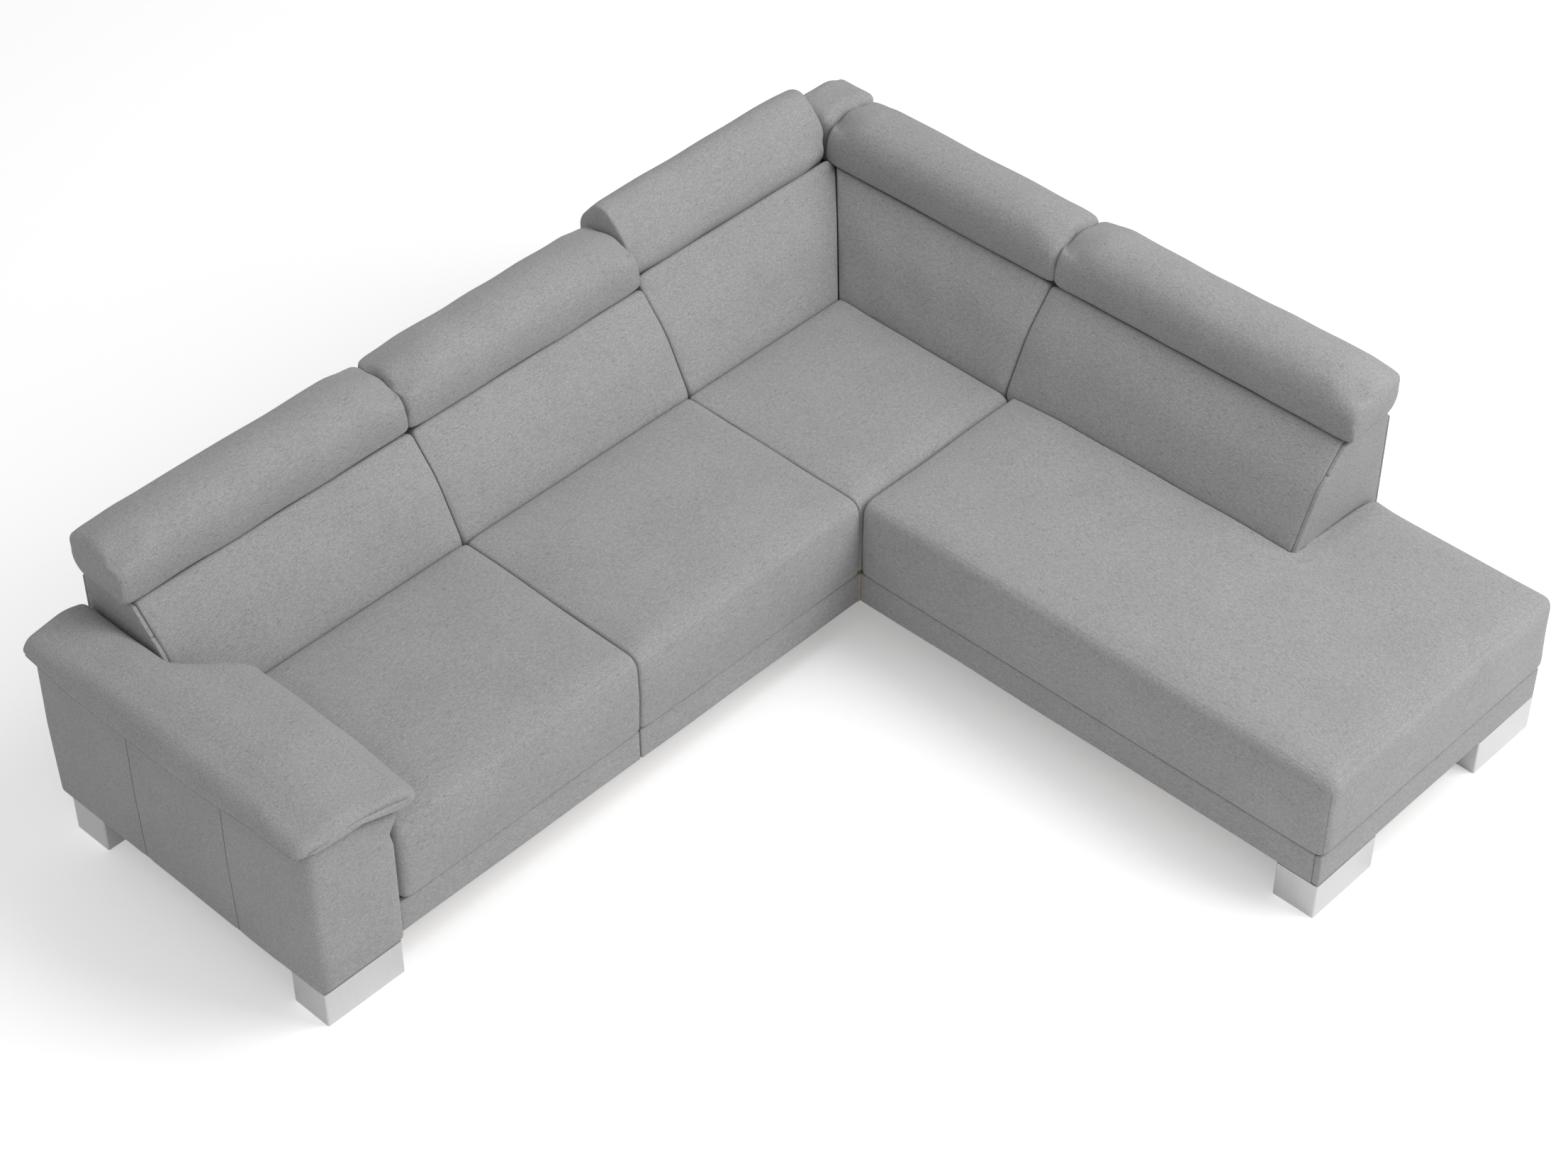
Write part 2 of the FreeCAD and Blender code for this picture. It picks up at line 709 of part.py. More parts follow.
def dust_covers(blocks):
    """The cloths that close each bay of the frames from below, cut round the foot blocks."""
    z_span = ("foot_height", "foot_height + cloth")
    half = "timber / 2"
    step = "-(back_side_end + module_gap)"
    main_y = (f"{PLINTH_FRONT} + plinth_board + timber", f"{HEEL} - timber")
    corner_x = (f"{CORNER_LEFT} + timber", f"{HEEL} - timber")
    side_x = (f"{PLINTH_SIDE} + plinth_board + timber", f"{HEEL} - timber")
    open_x = (HEEL, "open_end_reach - plinth_setback - plinth_board - timber")
    open_y = (f"{PLINTH_END} + plinth_board + timber", f"{step} - {half}")
    bays = [
        ((f"{SEAT_LEFT} + timber", f"{SEAT_SPLIT} - {half}"), main_y),
        ((f"{SEAT_SPLIT} + {half}", f"{MAIN_RIGHT} - timber"), main_y),
        (corner_x, (f"{CORNER_FRONT} + timber", f"-main_depth / 2 - {half}")),
        (corner_x, (f"-main_depth / 2 + {half}", f"{HEEL} - timber")),
        (side_x, (f"{step} + {half}", "-(main_depth + module_gap) - timber")),
        (side_x, open_y),
        (open_x, open_y),
    ]
    cloths = [board(f"Cloth{index}", (x, y, z_span)) for index, (x, y) in enumerate(bays)]
    item = doc.addObject("Part::Cut", "DustCovers")
    item.Base = grouped("Cloths", cloths)
    item.Tool = grouped("ClothCutouts", blocks)
    keep(item, "dust_covers")


# Seats

def seat_outline(station, front, rear, draw, open_rear):
    """A seat cushion's section: bulged front, rounded front edge and crowned top."""
    base = measure(SEAT_BASE)
    seam = D.seat_seam - draw
    back = D.seat_rear_top - draw
    low_front = -front + draw / 2
    edge = low_front + D.seat_round
    lift = D.seat_round * 0.6
    crown = (seam + lift + back) / 2 + D.seat_crown - draw
    steps = [
        (low_front, base),
        ((low_front - D.seat_bulge + draw / 2, (base + seam) / 2), (low_front + D.seat_bulge, seam)),
        ((low_front + D.seat_round * 0.35, seam + lift * 0.7), (edge, seam + lift)),
    ]
    if open_rear:
        top_rear = rear - D.seat_round
        steps.append((((edge + top_rear) / 2, crown), (top_rear, seam + lift)))
        steps.append(((rear - D.seat_round * 0.35, seam + lift * 0.7), (rear - draw / 2, seam)))
        steps.append((rear - draw / 2, base))
        return outline(station, (rear - draw / 2, base), steps)
    steps.append((((edge + rear) / 2, crown), (rear, back)))
    steps.append((rear, base))
    return outline(station, (rear, base), steps)


def seat_form(low, high, front, rear, open_rear=False):
    """A crowned seat cushion along a wing."""
    wires = []
    for place in stations_between(low, high, D.seat_round):
        draw = drawn_in(place, low, high, D.seat_round) * D.seat_draw
        wires.append(seat_outline(place, front, rear, draw, open_rear))
    return loft(wires)


def seats():
    """The four seat cushions."""
    half = D.split_gap / 4
    rear = -(D.back_foot + D.soft_gap)
    left, split = measure(SEAT_LEFT), measure(SEAT_SPLIT)
    first = seat_form(left, split - half, D.main_depth, rear)
    second = seat_form(split + half, -D.side_depth - half, D.main_depth, rear)
    third = seat_form(-D.side_depth + half, rear, D.main_depth - D.seat_bulge, rear)
    keep(shaped("SeatOne", first), "seat_cushion_1")
    keep(shaped("SeatTwo", second), "seat_cushion_2")
    keep(shaped("SeatCorner", third), "corner_seat_cushion")
    fourth = seat_form(D.main_depth + half, D.side_length, D.side_depth, D.open_end_reach, open_rear=True)
    notch = Part.makeBox(D.back_side_end + D.soft_gap, D.side_depth, D.back_top, Vector(0, rear, 0))
    keep(shaped("SeatOttoman", fourth.cut(notch), on_side()), "ottoman_seat_cushion")


# Backs

def back_outline(station, draw):
    """A back cushion's section: upright foot, leaning belly and a sloped top under the headrest."""
    foot_v = -D.back_foot + draw
    return outline(station, (-D.back_heel, D.back_foot_bottom), [
        (foot_v, D.back_foot_bottom),
        (foot_v, D.back_foot_top),
        ((-D.back_belly + draw, D.back_belly_height), (-D.back_rim + draw / 2, D.back_top - draw / 4)),
        (-D.back_heel, D.back_heel_height),
        (-D.back_heel, D.back_foot_bottom),
    ])


def back_form(low, high, soft_low=True, soft_high=True):
    """A back cushion along a wing, drawn in at the ends that show a gap."""
    wires = []
    for place in stations_between(low, high, D.back_round):
        draw = drawn_in(place, low, high, D.back_round, soft_low, soft_high) * D.back_draw
        wires.append(back_outline(place, draw))
    return loft(wires)


def mitre(shape, side):
    """Cut a back cushion along the corner's diagonal, less half the gap."""
    far = D.main_length
    gap = D.split_gap
    corners = [Vector(-far, side * -far, 0), Vector(far, side * far, 0), Vector(far, side * -far, 0)]
    if side < 0:
        corners = [Vector(-far, far, 0), Vector(far, -far, 0), Vector(-far, -far, 0)]
    face = Part.Face(Part.makePolygon(corners + corners[:1]))
    prism = face.extrude(Vector(0, 0, D.hinge_height))
    prism.translate(Vector(-gap / 2 if side > 0 else gap / 2, 0, 0))
    return shape.cut(prism)


def backs():
    """The five back cushions."""
    half = D.split_gap / 2
    end = D.ply + D.soft_gap
    split = measure(SEAT_SPLIT)
    first = back_form(-D.back_left_end + end, split - half)
    second = back_form(split + half, -D.back_split_main - half)
    third = mitre(back_form(-D.back_split_main + half, 0.0, soft_high=False), 1)
    fourth = mitre(back_form(0.0, D.back_split_side - half, soft_low=False), -1)
    fifth = back_form(D.back_split_side + half, D.back_side_end - end)
    for number, shape in enumerate((first, second, third), start=1):
        keep(shaped(f"BackCushion{number}", shape), f"back_cushion_{number}")
    for number, shape in enumerate((fourth, fifth), start=4):
        keep(shaped(f"BackCushion{number}", shape, on_side()), f"back_cushion_{number}")


def end_panel(name, label, place_x, place_y, turn):
    """The upholstered board that closes a back's open end, scooped for the headrest's lip."""
    body = padded_out(name + "Board", "YZ_Plane", [
        ("-back_foot", SEAT_BASE),
        ("rear_reach - panel", SEAT_BASE),
        ("rear_reach - panel", "back_top - split_gap"),
        ("-back_rim", "back_top - split_gap"),
        ("-back_belly", "back_belly_height"),
        ("-back_foot", "back_foot_top"),
    ], "ply")
    body.setExpression("Placement.Base.x", rule(place_x))
    body.setExpression("Placement.Base.y", rule(place_y))
    body.Placement = Placement(body.Placement.Base, Rotation(Vector(0, 0, 1), turn))
    doc.recompute()
    place = body.Placement.multiply(Placement(Vector(0, -D.hinge_depth, D.hinge_height), Rotation()))
    item = doc.addObject("Part::Cut", name)
    item.Base = body
    item.Tool = shaped(name + "Scoop", headrest_swing(D.ply), place)
    keep(item, label)


def back_frames():
    """Posts and rails inside the backs."""
    def post(name, x_span, y_span):
        return board(name, (x_span, y_span, ("foot_height", POST_TOP)))

    def rail(name, x_span, y_span, top):
        z_span = ("back_heel_height - back_rim", RAIL_TOP) if top else ("foot_height", FRAME_TOP)
        return board(name, (x_span, y_span, z_span))

    across = (HEEL, RAIL_FRONT)
    back = (RAIL_FRONT, RAIL_REAR)
    left = "-(back_left_end - ply)"
    split = (f"{SEAT_SPLIT} - timber / 2", f"{SEAT_SPLIT} + timber / 2")
    main_span = (left, MAIN_RIGHT)
    keep(joined("MainBackFrame", [
        post("MainPostLeft", (left, f"{left} + timber"), across),
        post("MainPostSplit", split, across),
        post("MainPostRight", (f"{MAIN_RIGHT} - timber", MAIN_RIGHT), across),
        rail("MainTopRail", main_span, back, True),
        rail("MainBottomRail", main_span, back, False),
    ]), "main_back_frame")
    side_split = "-(main_depth + module_gap / 2)"
    rear_foot = FOOT_BOLTS["foot_corner_rear"]
    block_x = rear_foot[0][0]
    block_span = (f"{block_x} - foot_block / 2", f"{block_x} + foot_block / 2")
    front_start = f"{side_split} + module_gap"
    keep(drilled("CornerBack", joined("CornerBackBoards", [
        board("CornerFootBlock", (block_span, across, ("foot_height", FRAME_TOP))),
        post("CornerPostLeft", (CORNER_LEFT, f"{CORNER_LEFT} + timber"), across),
        post("CornerPostMiddle", (HEEL, RAIL_REAR), (HEEL, RAIL_REAR)),
        post("CornerPostFront", across, (front_start, f"{front_start} + timber")),
        rail("CornerTopLeft", (CORNER_LEFT, RAIL_REAR), back, True),
        rail("CornerTopRight", back, (front_start, RAIL_REAR), True),
        rail("CornerBottomLeft", (CORNER_LEFT, RAIL_REAR), back, False),
        rail("CornerBottomRight", back, (front_start, RAIL_REAR), False),
    ]), rear_foot), "corner_back_frame")
    end = "-(back_side_end - ply)"
    keep(joined("OttomanBackFrame", [
        post("OttomanPostRear", across, (f"{side_split} - timber", side_split)),
        post("OttomanPostFront", across, (end, f"{end} + timber")),
        rail("OttomanTopRail", back, (end, side_split), True),
        rail("OttomanBottomRail", back, (end, side_split), False),
    ]), "ottoman_back_frame")


def webbing():
    """Elastic straps between the posts, behind the back cushions."""
    side_split = "-(main_depth + module_gap / 2)"
    depth = (HEEL, f"{HEEL} + strap_thickness")
    bays = [
        (("-(back_left_end - ply) + timber", f"{SEAT_SPLIT} - timber / 2"), depth),
        ((f"{SEAT_SPLIT} + timber / 2", f"{MAIN_RIGHT} - timber"), depth),
        ((f"{CORNER_LEFT} + timber", HEEL), depth),
        (depth, (f"{side_split} + module_gap + timber", HEEL)),
        (depth, ("-(back_side_end - ply) + timber", f"{side_split} - timber")),
    ]
    straps = []
    for bay, (x_span, y_span) in enumerate(bays):
        for row in range(3):
            low = f"back_foot_bottom + {row} * strap_spacing"
            straps.append(board(f"Strap{bay}{row}", (x_span, y_span, (low, f"{low} + strap_width"))))
    keep(grouped("BackWebbing", straps), "back_webbing")


def rear_panels():
    """The fabric covered boards behind the backs."""
    depth = (RAIL_REAR, "rear_reach")
    z_span = ("foot_height", RAIL_TOP)
    side_split = "-(main_depth + module_gap / 2)"
    panels = {
        "main": ("RearMain", ("-back_left_end", f"{MAIN_RIGHT} + module_gap / 2 - soft_gap"), depth),
        "corner_left": ("RearCornerLeft", (f"{CORNER_LEFT} - module_gap / 2", "rear_reach"), depth),
        "corner_right": ("RearCornerRight", depth, (side_split, RAIL_REAR)),
        "ottoman": ("RearOttoman", depth, ("-back_side_end", f"{side_split} - soft_gap")),
    }
    for place, (name, x_span, y_span) in panels.items():
        keep(board(name, (x_span, y_span, z_span)), f"rear_panel_{place}")


def block_outline(station, draw):
    """The corner block's section across its own width."""
    low = measure(RAIL_TOP) + D.soft_gap
    high = low + D.block_height - draw
    front = -D.block_front + draw / 2
    rear = D.rear_reach - draw / 2
    turn = D.headrest_round
    return outline(station, (front, low), [
        (rear, low),
        (rear, high - turn),
        ((rear - turn * 0.3, high - turn * 0.3), (rear - turn, high)),
        (front + turn, high),
        ((front + turn * 0.3, high - turn * 0.3), (front, high - turn)),
        (front, low),
    ])


def corner_block():
    """The padded block between the two wings' headrests."""
    low, high = -D.block_left, D.rear_reach
    wires = []
    for place in stations_between(low, high, D.headrest_round):
        draw = drawn_in(place, low, high, D.headrest_round) * D.block_draw
        wires.append(block_outline(place, draw))
    keep(shaped("CornerBlock", loft(wires)), "corner_block")


# Armrest

def arm():
    """The armrest's frame and its padded cover."""
    in_left = f"{ARM_LEFT} + arm_padding"
    in_front = f"{ARM_FRONT} + arm_padding"
    in_rear = f"{ARM_REAR} - arm_padding"
    in_right = f"{ARM_RIGHT} - arm_padding"
    in_step = f"{ARM_STEP} - arm_padding"
    in_rear_right = f"{ARM_REAR_RIGHT} - arm_padding"
    z_span = ("foot_height", "arm_inner_top - arm_padding")
    boards = [
        board("ArmOuter", ((in_left, f"{in_left} + ply"), (in_front, in_rear), z_span)),
        board("ArmInner", ((f"{in_right} - ply", in_right), (in_front, in_step), z_span)),
        board("ArmInnerRear", ((f"{in_rear_right} - ply", in_rear_right), (in_step, in_rear), z_span)),
        board("ArmFront", ((in_left, in_right), (in_front, f"{in_front} + ply"), z_span)),
        board("ArmStep", ((f"{in_rear_right} - ply", in_right), (f"{in_step} - ply", in_step), z_span)),
        board("ArmRear", ((in_left, in_rear_right), (f"{in_rear} - ply", in_rear), z_span)),
    ]
    spots = FOOT_BOLTS["foot_arm_front"] + FOOT_BOLTS["foot_arm_rear"]
    boards += foot_blocks("Arm", spots)
    sill_span = ("foot_height", "foot_height + timber")
    boards += [
        board("ArmSill", ((in_left, in_rear_right), (in_front, in_rear), sill_span)),
        board("ArmFrontSill", ((in_left, in_right), (in_front, in_step), sill_span)),
    ]
    frame = joined("ArmBoards", boards)
    keep(drilled("ArmFrame", frame, spots, ARM_BOLTS), "arm_frame")

    left, right = measure(ARM_LEFT), measure(ARM_RIGHT)
    front, step, rear = measure(ARM_FRONT), measure(ARM_STEP), measure(ARM_REAR)
    low = D.foot_height
    section = Part.Wire([
        Part.makePolygon([
            Vector(right, front, D.arm_waist), Vector(right, front, low), Vector(left, front, low),
            Vector(left, front, D.arm_top), Vector(left + D.arm_shoulder, front, D.arm_top), arm_lip(front),
        ]),
        Part.Arc(
            arm_lip(front),
            Vector(right + D.arm_belly, front, D.arm_inner_top - D.arm_belly / 2),
            Vector(right, front, D.arm_waist),
        ).toShape(),
    ])
    cover = Part.Face(section).extrude(Vector(0, rear - front, 0))
    narrow = measure(ARM_REAR_RIGHT)
    tools = [Part.makeBox(D.arm_width, rear - step, D.arm_top, Vector(narrow, step, 0))]
    height = D.arm_inner_top - D.arm_padding - low
    corner = Vector(measure(in_left), measure(in_front), low)
    for end_x, end_y in ((in_right, in_step), (in_rear_right, in_rear)):
        tools.append(Part.makeBox(measure(end_x) - corner.x, measure(end_y) - corner.y, height, corner))
    for y in ARM_BOLTS:
        start = Vector(right - D.arm_padding, measure(y), D.foot_height + D.rail_height / 2)
        tools.append(Part.makeCylinder(D.bolt_radius + D.pin_gap, D.arm_padding, start, Vector(1, 0, 0)))
    keep(shaped("ArmCover", cover.cut(tools).removeSplitter()), "arm_cover")


def arm_lip(station):
    """Where the armrest's sloping top meets its rounded inner side."""
    return Vector(measure(ARM_RIGHT) + D.arm_belly * 0.85, station, D.arm_inner_top)


def pad_wire(station, share, inner, draw):
    """The arm pad's section: flat underneath to the shoulder, then sloping to its inner lip.

    Its share is 0 where the pad stands upright beside the back, and 1 where its lip swells out.
    """
    shoulder = measure(ARM_LEFT) + D.arm_shoulder
    lip_point = arm_lip(station)
    slope = (D.arm_top - D.arm_inner_top) / (lip_point.x - shoulder)
    under = D.arm_top + D.soft_gap
    outer = measure(ARM_LEFT) - D.pad_overhang + draw
    lip = inner - D.arm_belly / 2 - draw
    low = under - slope * (lip - shoulder)
    lift = D.pad_top - D.arm_top - draw

    def at(x, z):
        return Vector(x, station, z)

    start = at(outer + D.arm_belly / 2, under)
    upright = D.pad_top - D.arm_padding * 0.75 - draw
    top_inner = at(inner - D.arm_belly * (0.4 + 0.6 * share) - draw, eased(upright, low + lift * 0.85, share))
    top_outer = at(outer + D.arm_belly * 0.6, under + lift * 0.62)
    crest = at(measure(ARM_LEFT) + D.arm_width * 0.45, D.pad_top - draw)
    return Part.Wire([
        Part.makePolygon([start, at(shoulder, under), at(lip, low)]),
        Part.Arc(at(lip, low), at(inner - draw, low + lift * 0.3), top_inner).toShape(),
        Part.Arc(top_inner, crest, top_outer).toShape(),
        Part.Arc(top_outer, at(outer, under + lift * 0.3), start).toShape(),
    ])


def arm_pad():
    """The soft pad over the armrest, narrow beside the back and wide in front of it."""
    narrow = -(D.back_left_end + 2 * D.slot_gap)
    wide = -(D.main_length - D.arm_width) + D.pad_inner_reach
    rear = D.pad_rear_reach
    front = -(D.main_depth + D.arm_front_reach + D.pad_front_reach)
    run = D.pad_wide_from - D.pad_widens_at
    narrow_end = -D.pad_widens_at
    places = [rear - D.arm_padding * share for share in (0.0, 0.12, 0.35, 0.65, 1.0)]
    places += [narrow_end - run * share / 8 for share in range(9)]
    places += [front + D.arm_padding * share for share in (4.0, 2.0, 1.0, 0.65, 0.35, 0.12, 0.0)]
    wires = []
    for place in places:
        share = eased(0.0, 1.0, (narrow_end - place) / run)
        inner = narrow + (wide - narrow) * share
        draw = drawn_in(place, front, rear, D.arm_padding) * D.arm_padding * 0.6
        wires.append(pad_wire(place, share, inner, draw))
    keep(shaped("ArmPad", loft(wires)), "arm_pad")


# Fittings

def bracket(start):
    """A fixed hinge bracket: a cranked strap with the pin's hole in its head."""
    rear = measure(RAIL_FRONT)
    front = rear - D.plate_width
    half = D.plate_width / 2
    low = D.back_heel_height - D.headrest_round
    bend = D.back_top - 2 * D.module_gap
    corners = [
        Vector(start, rear, low), Vector(start, rear, bend),
        Vector(start, half - D.hinge_depth, D.hinge_height),
        Vector(start, -half - D.hinge_depth, D.hinge_height),
        Vector(start, front, bend), Vector(start, front, low), Vector(start, rear, low),
    ]
    strap = Part.Face(Part.makePolygon(corners)).extrude(Vector(D.plate, 0, 0))
    axis = Vector(start, -D.hinge_depth, D.hinge_height)
    head = Part.makeCylinder(half, D.plate, axis, Vector(1, 0, 0))
    hole = Part.makeCylinder(D.pin_radius + D.pin_gap, D.plate, axis, Vector(1, 0, 0))
    return strap.fuse(head).removeSplitter().cut(hole)


def brackets(name, label, frame, spans):
    """The brackets screwed to a wing's top rails."""
    parts = []
    for low, high in spans:
        for station in hinge_stations(high - low):
            parts.append(bracket(low + station + D.plate + D.pin_gap / 2))
    keep(shaped(name, Part.makeCompound(parts), frame), label)


def connectors():
    """Steel hooks that hold the modules together, in the gaps between their frames."""
    z_span = ("foot_height + plate", "foot_height + plate + hook_height")
    main_gap = (MAIN_RIGHT, CORNER_LEFT)
    side_gap = ("-(main_depth + module_gap)", CORNER_FRONT)
    width = "plate_width"
    hooks = []
    for index, place in enumerate(("-main_depth * 0.75", "-main_depth * 0.25")):
        span = (place, f"{place} + {width}")
        hooks.append(board(f"HookMain{index}", (main_gap, span, z_span)))
    for index, place in enumerate(("-side_depth * 0.75", "-side_depth * 0.25")):
        span = (place, f"{place} + {width}")
        hooks.append(board(f"HookSide{index}", (span, side_gap, z_span)))
    keep(grouped("ModuleHooks", hooks), "module_hooks")


base_frames()
plinths()
springs()
seats()
backs()
end_panel("EndPanelSide", "back_end_panel_side", "axis_x", "axis_y - (back_side_end - ply)", -90)
end_panel("EndPanelMain", "back_end_panel_main", "axis_x - back_left_end", "axis_y", 0)
back_frames()
webbing()
rear_panels()
corner_block()
arm()
arm_pad()
connectors()
feet()

half_gap = D.split_gap / 2
headrest_spans = {
    1: (-D.back_left_end - D.headrest_overhang, measure(SEAT_SPLIT) - half_gap),
    2: (measure(SEAT_SPLIT) + half_gap, -D.back_split_main - half_gap),
    3: (-D.back_split_main + half_gap, -D.headrest_corner_clear),
    4: (D.headrest_side_clear, D.back_split_side - half_gap),
    5: (D.back_split_side + half_gap, D.back_side_end + D.headrest_overhang),
}
for number, (low, high) in headrest_spans.items():
    frame = on_axis() if number < 4 else on_side()
    headrest(number, frame, low, high, D.headrest_lift if number == 3 else 0.0)
brackets("BracketsMain", "headrest_brackets_main", on_axis(), [headrest_spans[n] for n in (1, 2, 3)])
brackets("BracketsSide", "headrest_brackets_side", on_side(), [headrest_spans[n] for n in (4, 5)])

doc.recompute()
for item in doc.Objects:
    if "Invalid" in item.State or "Error" in item.State:
        raise RuntimeError(f"{item.Label} failed: {item.State}")
for label, item in nodes.items():
    if item.Shape.isNull() or not item.Shape.isValid():
        raise RuntimeError(f"{label} has no sound shape")

os.makedirs("parts", exist_ok=True)
for label, item in nodes.items():
    item.Shape.exportStep(f"parts/{label}.step")
    print(f"{label}: {len(item.Shape.Solids)} solids, {item.Shape.Volume / 1e6:.2f} litres")
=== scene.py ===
"""Corner sofa with five folding headrests, in woven grey fabric on silver block feet."""
from __future__ import annotations

import json
import logging
import math
from dataclasses import dataclass, field
from enum import Enum
from typing import Callable, Sequence

import bmesh
import bpy
import numpy as np
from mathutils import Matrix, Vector
from mathutils.bvhtree import BVHTree

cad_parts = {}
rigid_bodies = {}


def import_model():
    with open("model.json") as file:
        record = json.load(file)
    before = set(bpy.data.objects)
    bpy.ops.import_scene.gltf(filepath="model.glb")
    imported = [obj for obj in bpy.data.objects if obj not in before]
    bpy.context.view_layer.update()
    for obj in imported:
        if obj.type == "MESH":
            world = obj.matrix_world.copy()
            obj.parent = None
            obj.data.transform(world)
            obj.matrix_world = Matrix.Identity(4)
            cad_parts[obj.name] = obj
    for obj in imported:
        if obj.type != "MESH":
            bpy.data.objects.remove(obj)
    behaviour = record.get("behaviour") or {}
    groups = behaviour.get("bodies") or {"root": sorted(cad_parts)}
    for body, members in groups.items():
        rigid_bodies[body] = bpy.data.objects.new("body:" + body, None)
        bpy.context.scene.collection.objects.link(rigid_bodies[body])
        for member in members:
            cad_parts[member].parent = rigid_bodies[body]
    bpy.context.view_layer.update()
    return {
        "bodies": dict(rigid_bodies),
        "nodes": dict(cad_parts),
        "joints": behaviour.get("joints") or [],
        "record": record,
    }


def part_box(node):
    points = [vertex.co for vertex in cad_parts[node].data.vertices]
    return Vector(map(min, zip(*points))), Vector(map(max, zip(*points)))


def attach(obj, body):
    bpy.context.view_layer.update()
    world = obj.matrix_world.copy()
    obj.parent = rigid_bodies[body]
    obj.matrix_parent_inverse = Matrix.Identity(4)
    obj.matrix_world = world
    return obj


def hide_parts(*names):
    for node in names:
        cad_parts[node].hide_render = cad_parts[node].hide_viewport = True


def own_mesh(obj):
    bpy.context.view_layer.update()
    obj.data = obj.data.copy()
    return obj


log = logging.getLogger("sofa")

Corner = tuple[float, float, float]
Outline = Callable[[float, float], np.ndarray]


class Wing(Enum):
    """The two wings of the sofa: each has its length u and its depth v, minus towards the sitter."""

    MAIN = "main"
    SIDE = "side"


class Grain(Enum):
    """The way that the cloth's thick yarns run on a piece."""

    ALONG_X = "along_x"
    ALONG_Y = "along_y"


# Finishes


class NodeSheet:
    """A node tree that is filled one node at a time."""

    def __init__(self, tree: bpy.types.NodeTree) -> None:
        """Keep the tree.

        Args:
            tree: the tree to fill.
        """
        self.tree = tree

    def add(self, kind: str, inputs: dict | None = None, **settings: object) -> bpy.types.Node:
        """Add a node.

        Args:
            kind: the node's type name.
            inputs: a value or a socket for each of its inputs, by name or number.
            settings: properties of the node itself.

        Returns:
            The new node.
        """
        node = self.tree.nodes.new(kind)
        for name, value in settings.items():
            setattr(node, name, value)
        for name, value in (inputs or {}).items():
            if isinstance(value, bpy.types.NodeSocket):
                self.tree.links.new(value, node.inputs[name])
            else:
                node.inputs[name].default_value = value
        return node

    def math(self, operation: str, first: object, second: object = 0.0) -> bpy.types.NodeSocket:
        """Return the result of a math node on two values or sockets."""
        return self.add("ShaderNodeMath", {0: first, 1: second}, operation=operation).outputs[0]

    def vector(self, operation: str, first: object, second: object = (0.0, 0.0, 0.0)) -> bpy.types.Node:
        """Return a vector math node on two vectors or sockets."""
        return self.add("ShaderNodeVectorMath", {0: first, 1: second}, operation=operation)

    def ramp(
        self, value: bpy.types.NodeSocket, low: float, high: float, start: float, end: float,
    ) -> bpy.types.NodeSocket:
        """Map a value smoothly from one range to another.

        Args:
            value: the socket to map.
            low: the value that becomes start.
            high: the value that becomes end.
            start: the result at low and below.
            end: the result at high and above.

        Returns:
            The mapped socket.
        """
        node = self.add("ShaderNodeMapRange", {0: value, 1: low, 2: high, 3: start, 4: end})
        node.interpolation_type = "SMOOTHSTEP"
        return node.outputs[0]

    def noise(self, stretch: tuple[float, float, float], detail: float) -> bpy.types.NodeSocket:
        """Add a noise on Object coordinates.

        Args:
            stretch: how many waves it has in a metre along x, y and z.
            detail: how much fine detail it has.

        Returns:
            The noise's value.
        """
        place = self.add("ShaderNodeTexCoord").outputs["Object"]
        spot = self.vector("MULTIPLY", place, stretch).outputs[0]
        inputs = {"Vector": spot, "Scale": 1.0, "Detail": detail, "Roughness": 0.6}
        return self.add("ShaderNodeTexNoise", inputs).outputs["Fac"]


def blank_material(name: str) -> tuple[bpy.types.Material, NodeSheet, bpy.types.Node]:
    """Make a material with one Principled shader.

    Args:
        name: the material's name.

    Returns:
        The material, its node sheet and the shader node.
    """
    material = bpy.data.materials.new(name)
    material.use_nodes = True
    sheet = NodeSheet(material.node_tree)
    shader = next(node for node in material.node_tree.nodes if node.type == "BSDF_PRINCIPLED")
    return material, sheet, shader


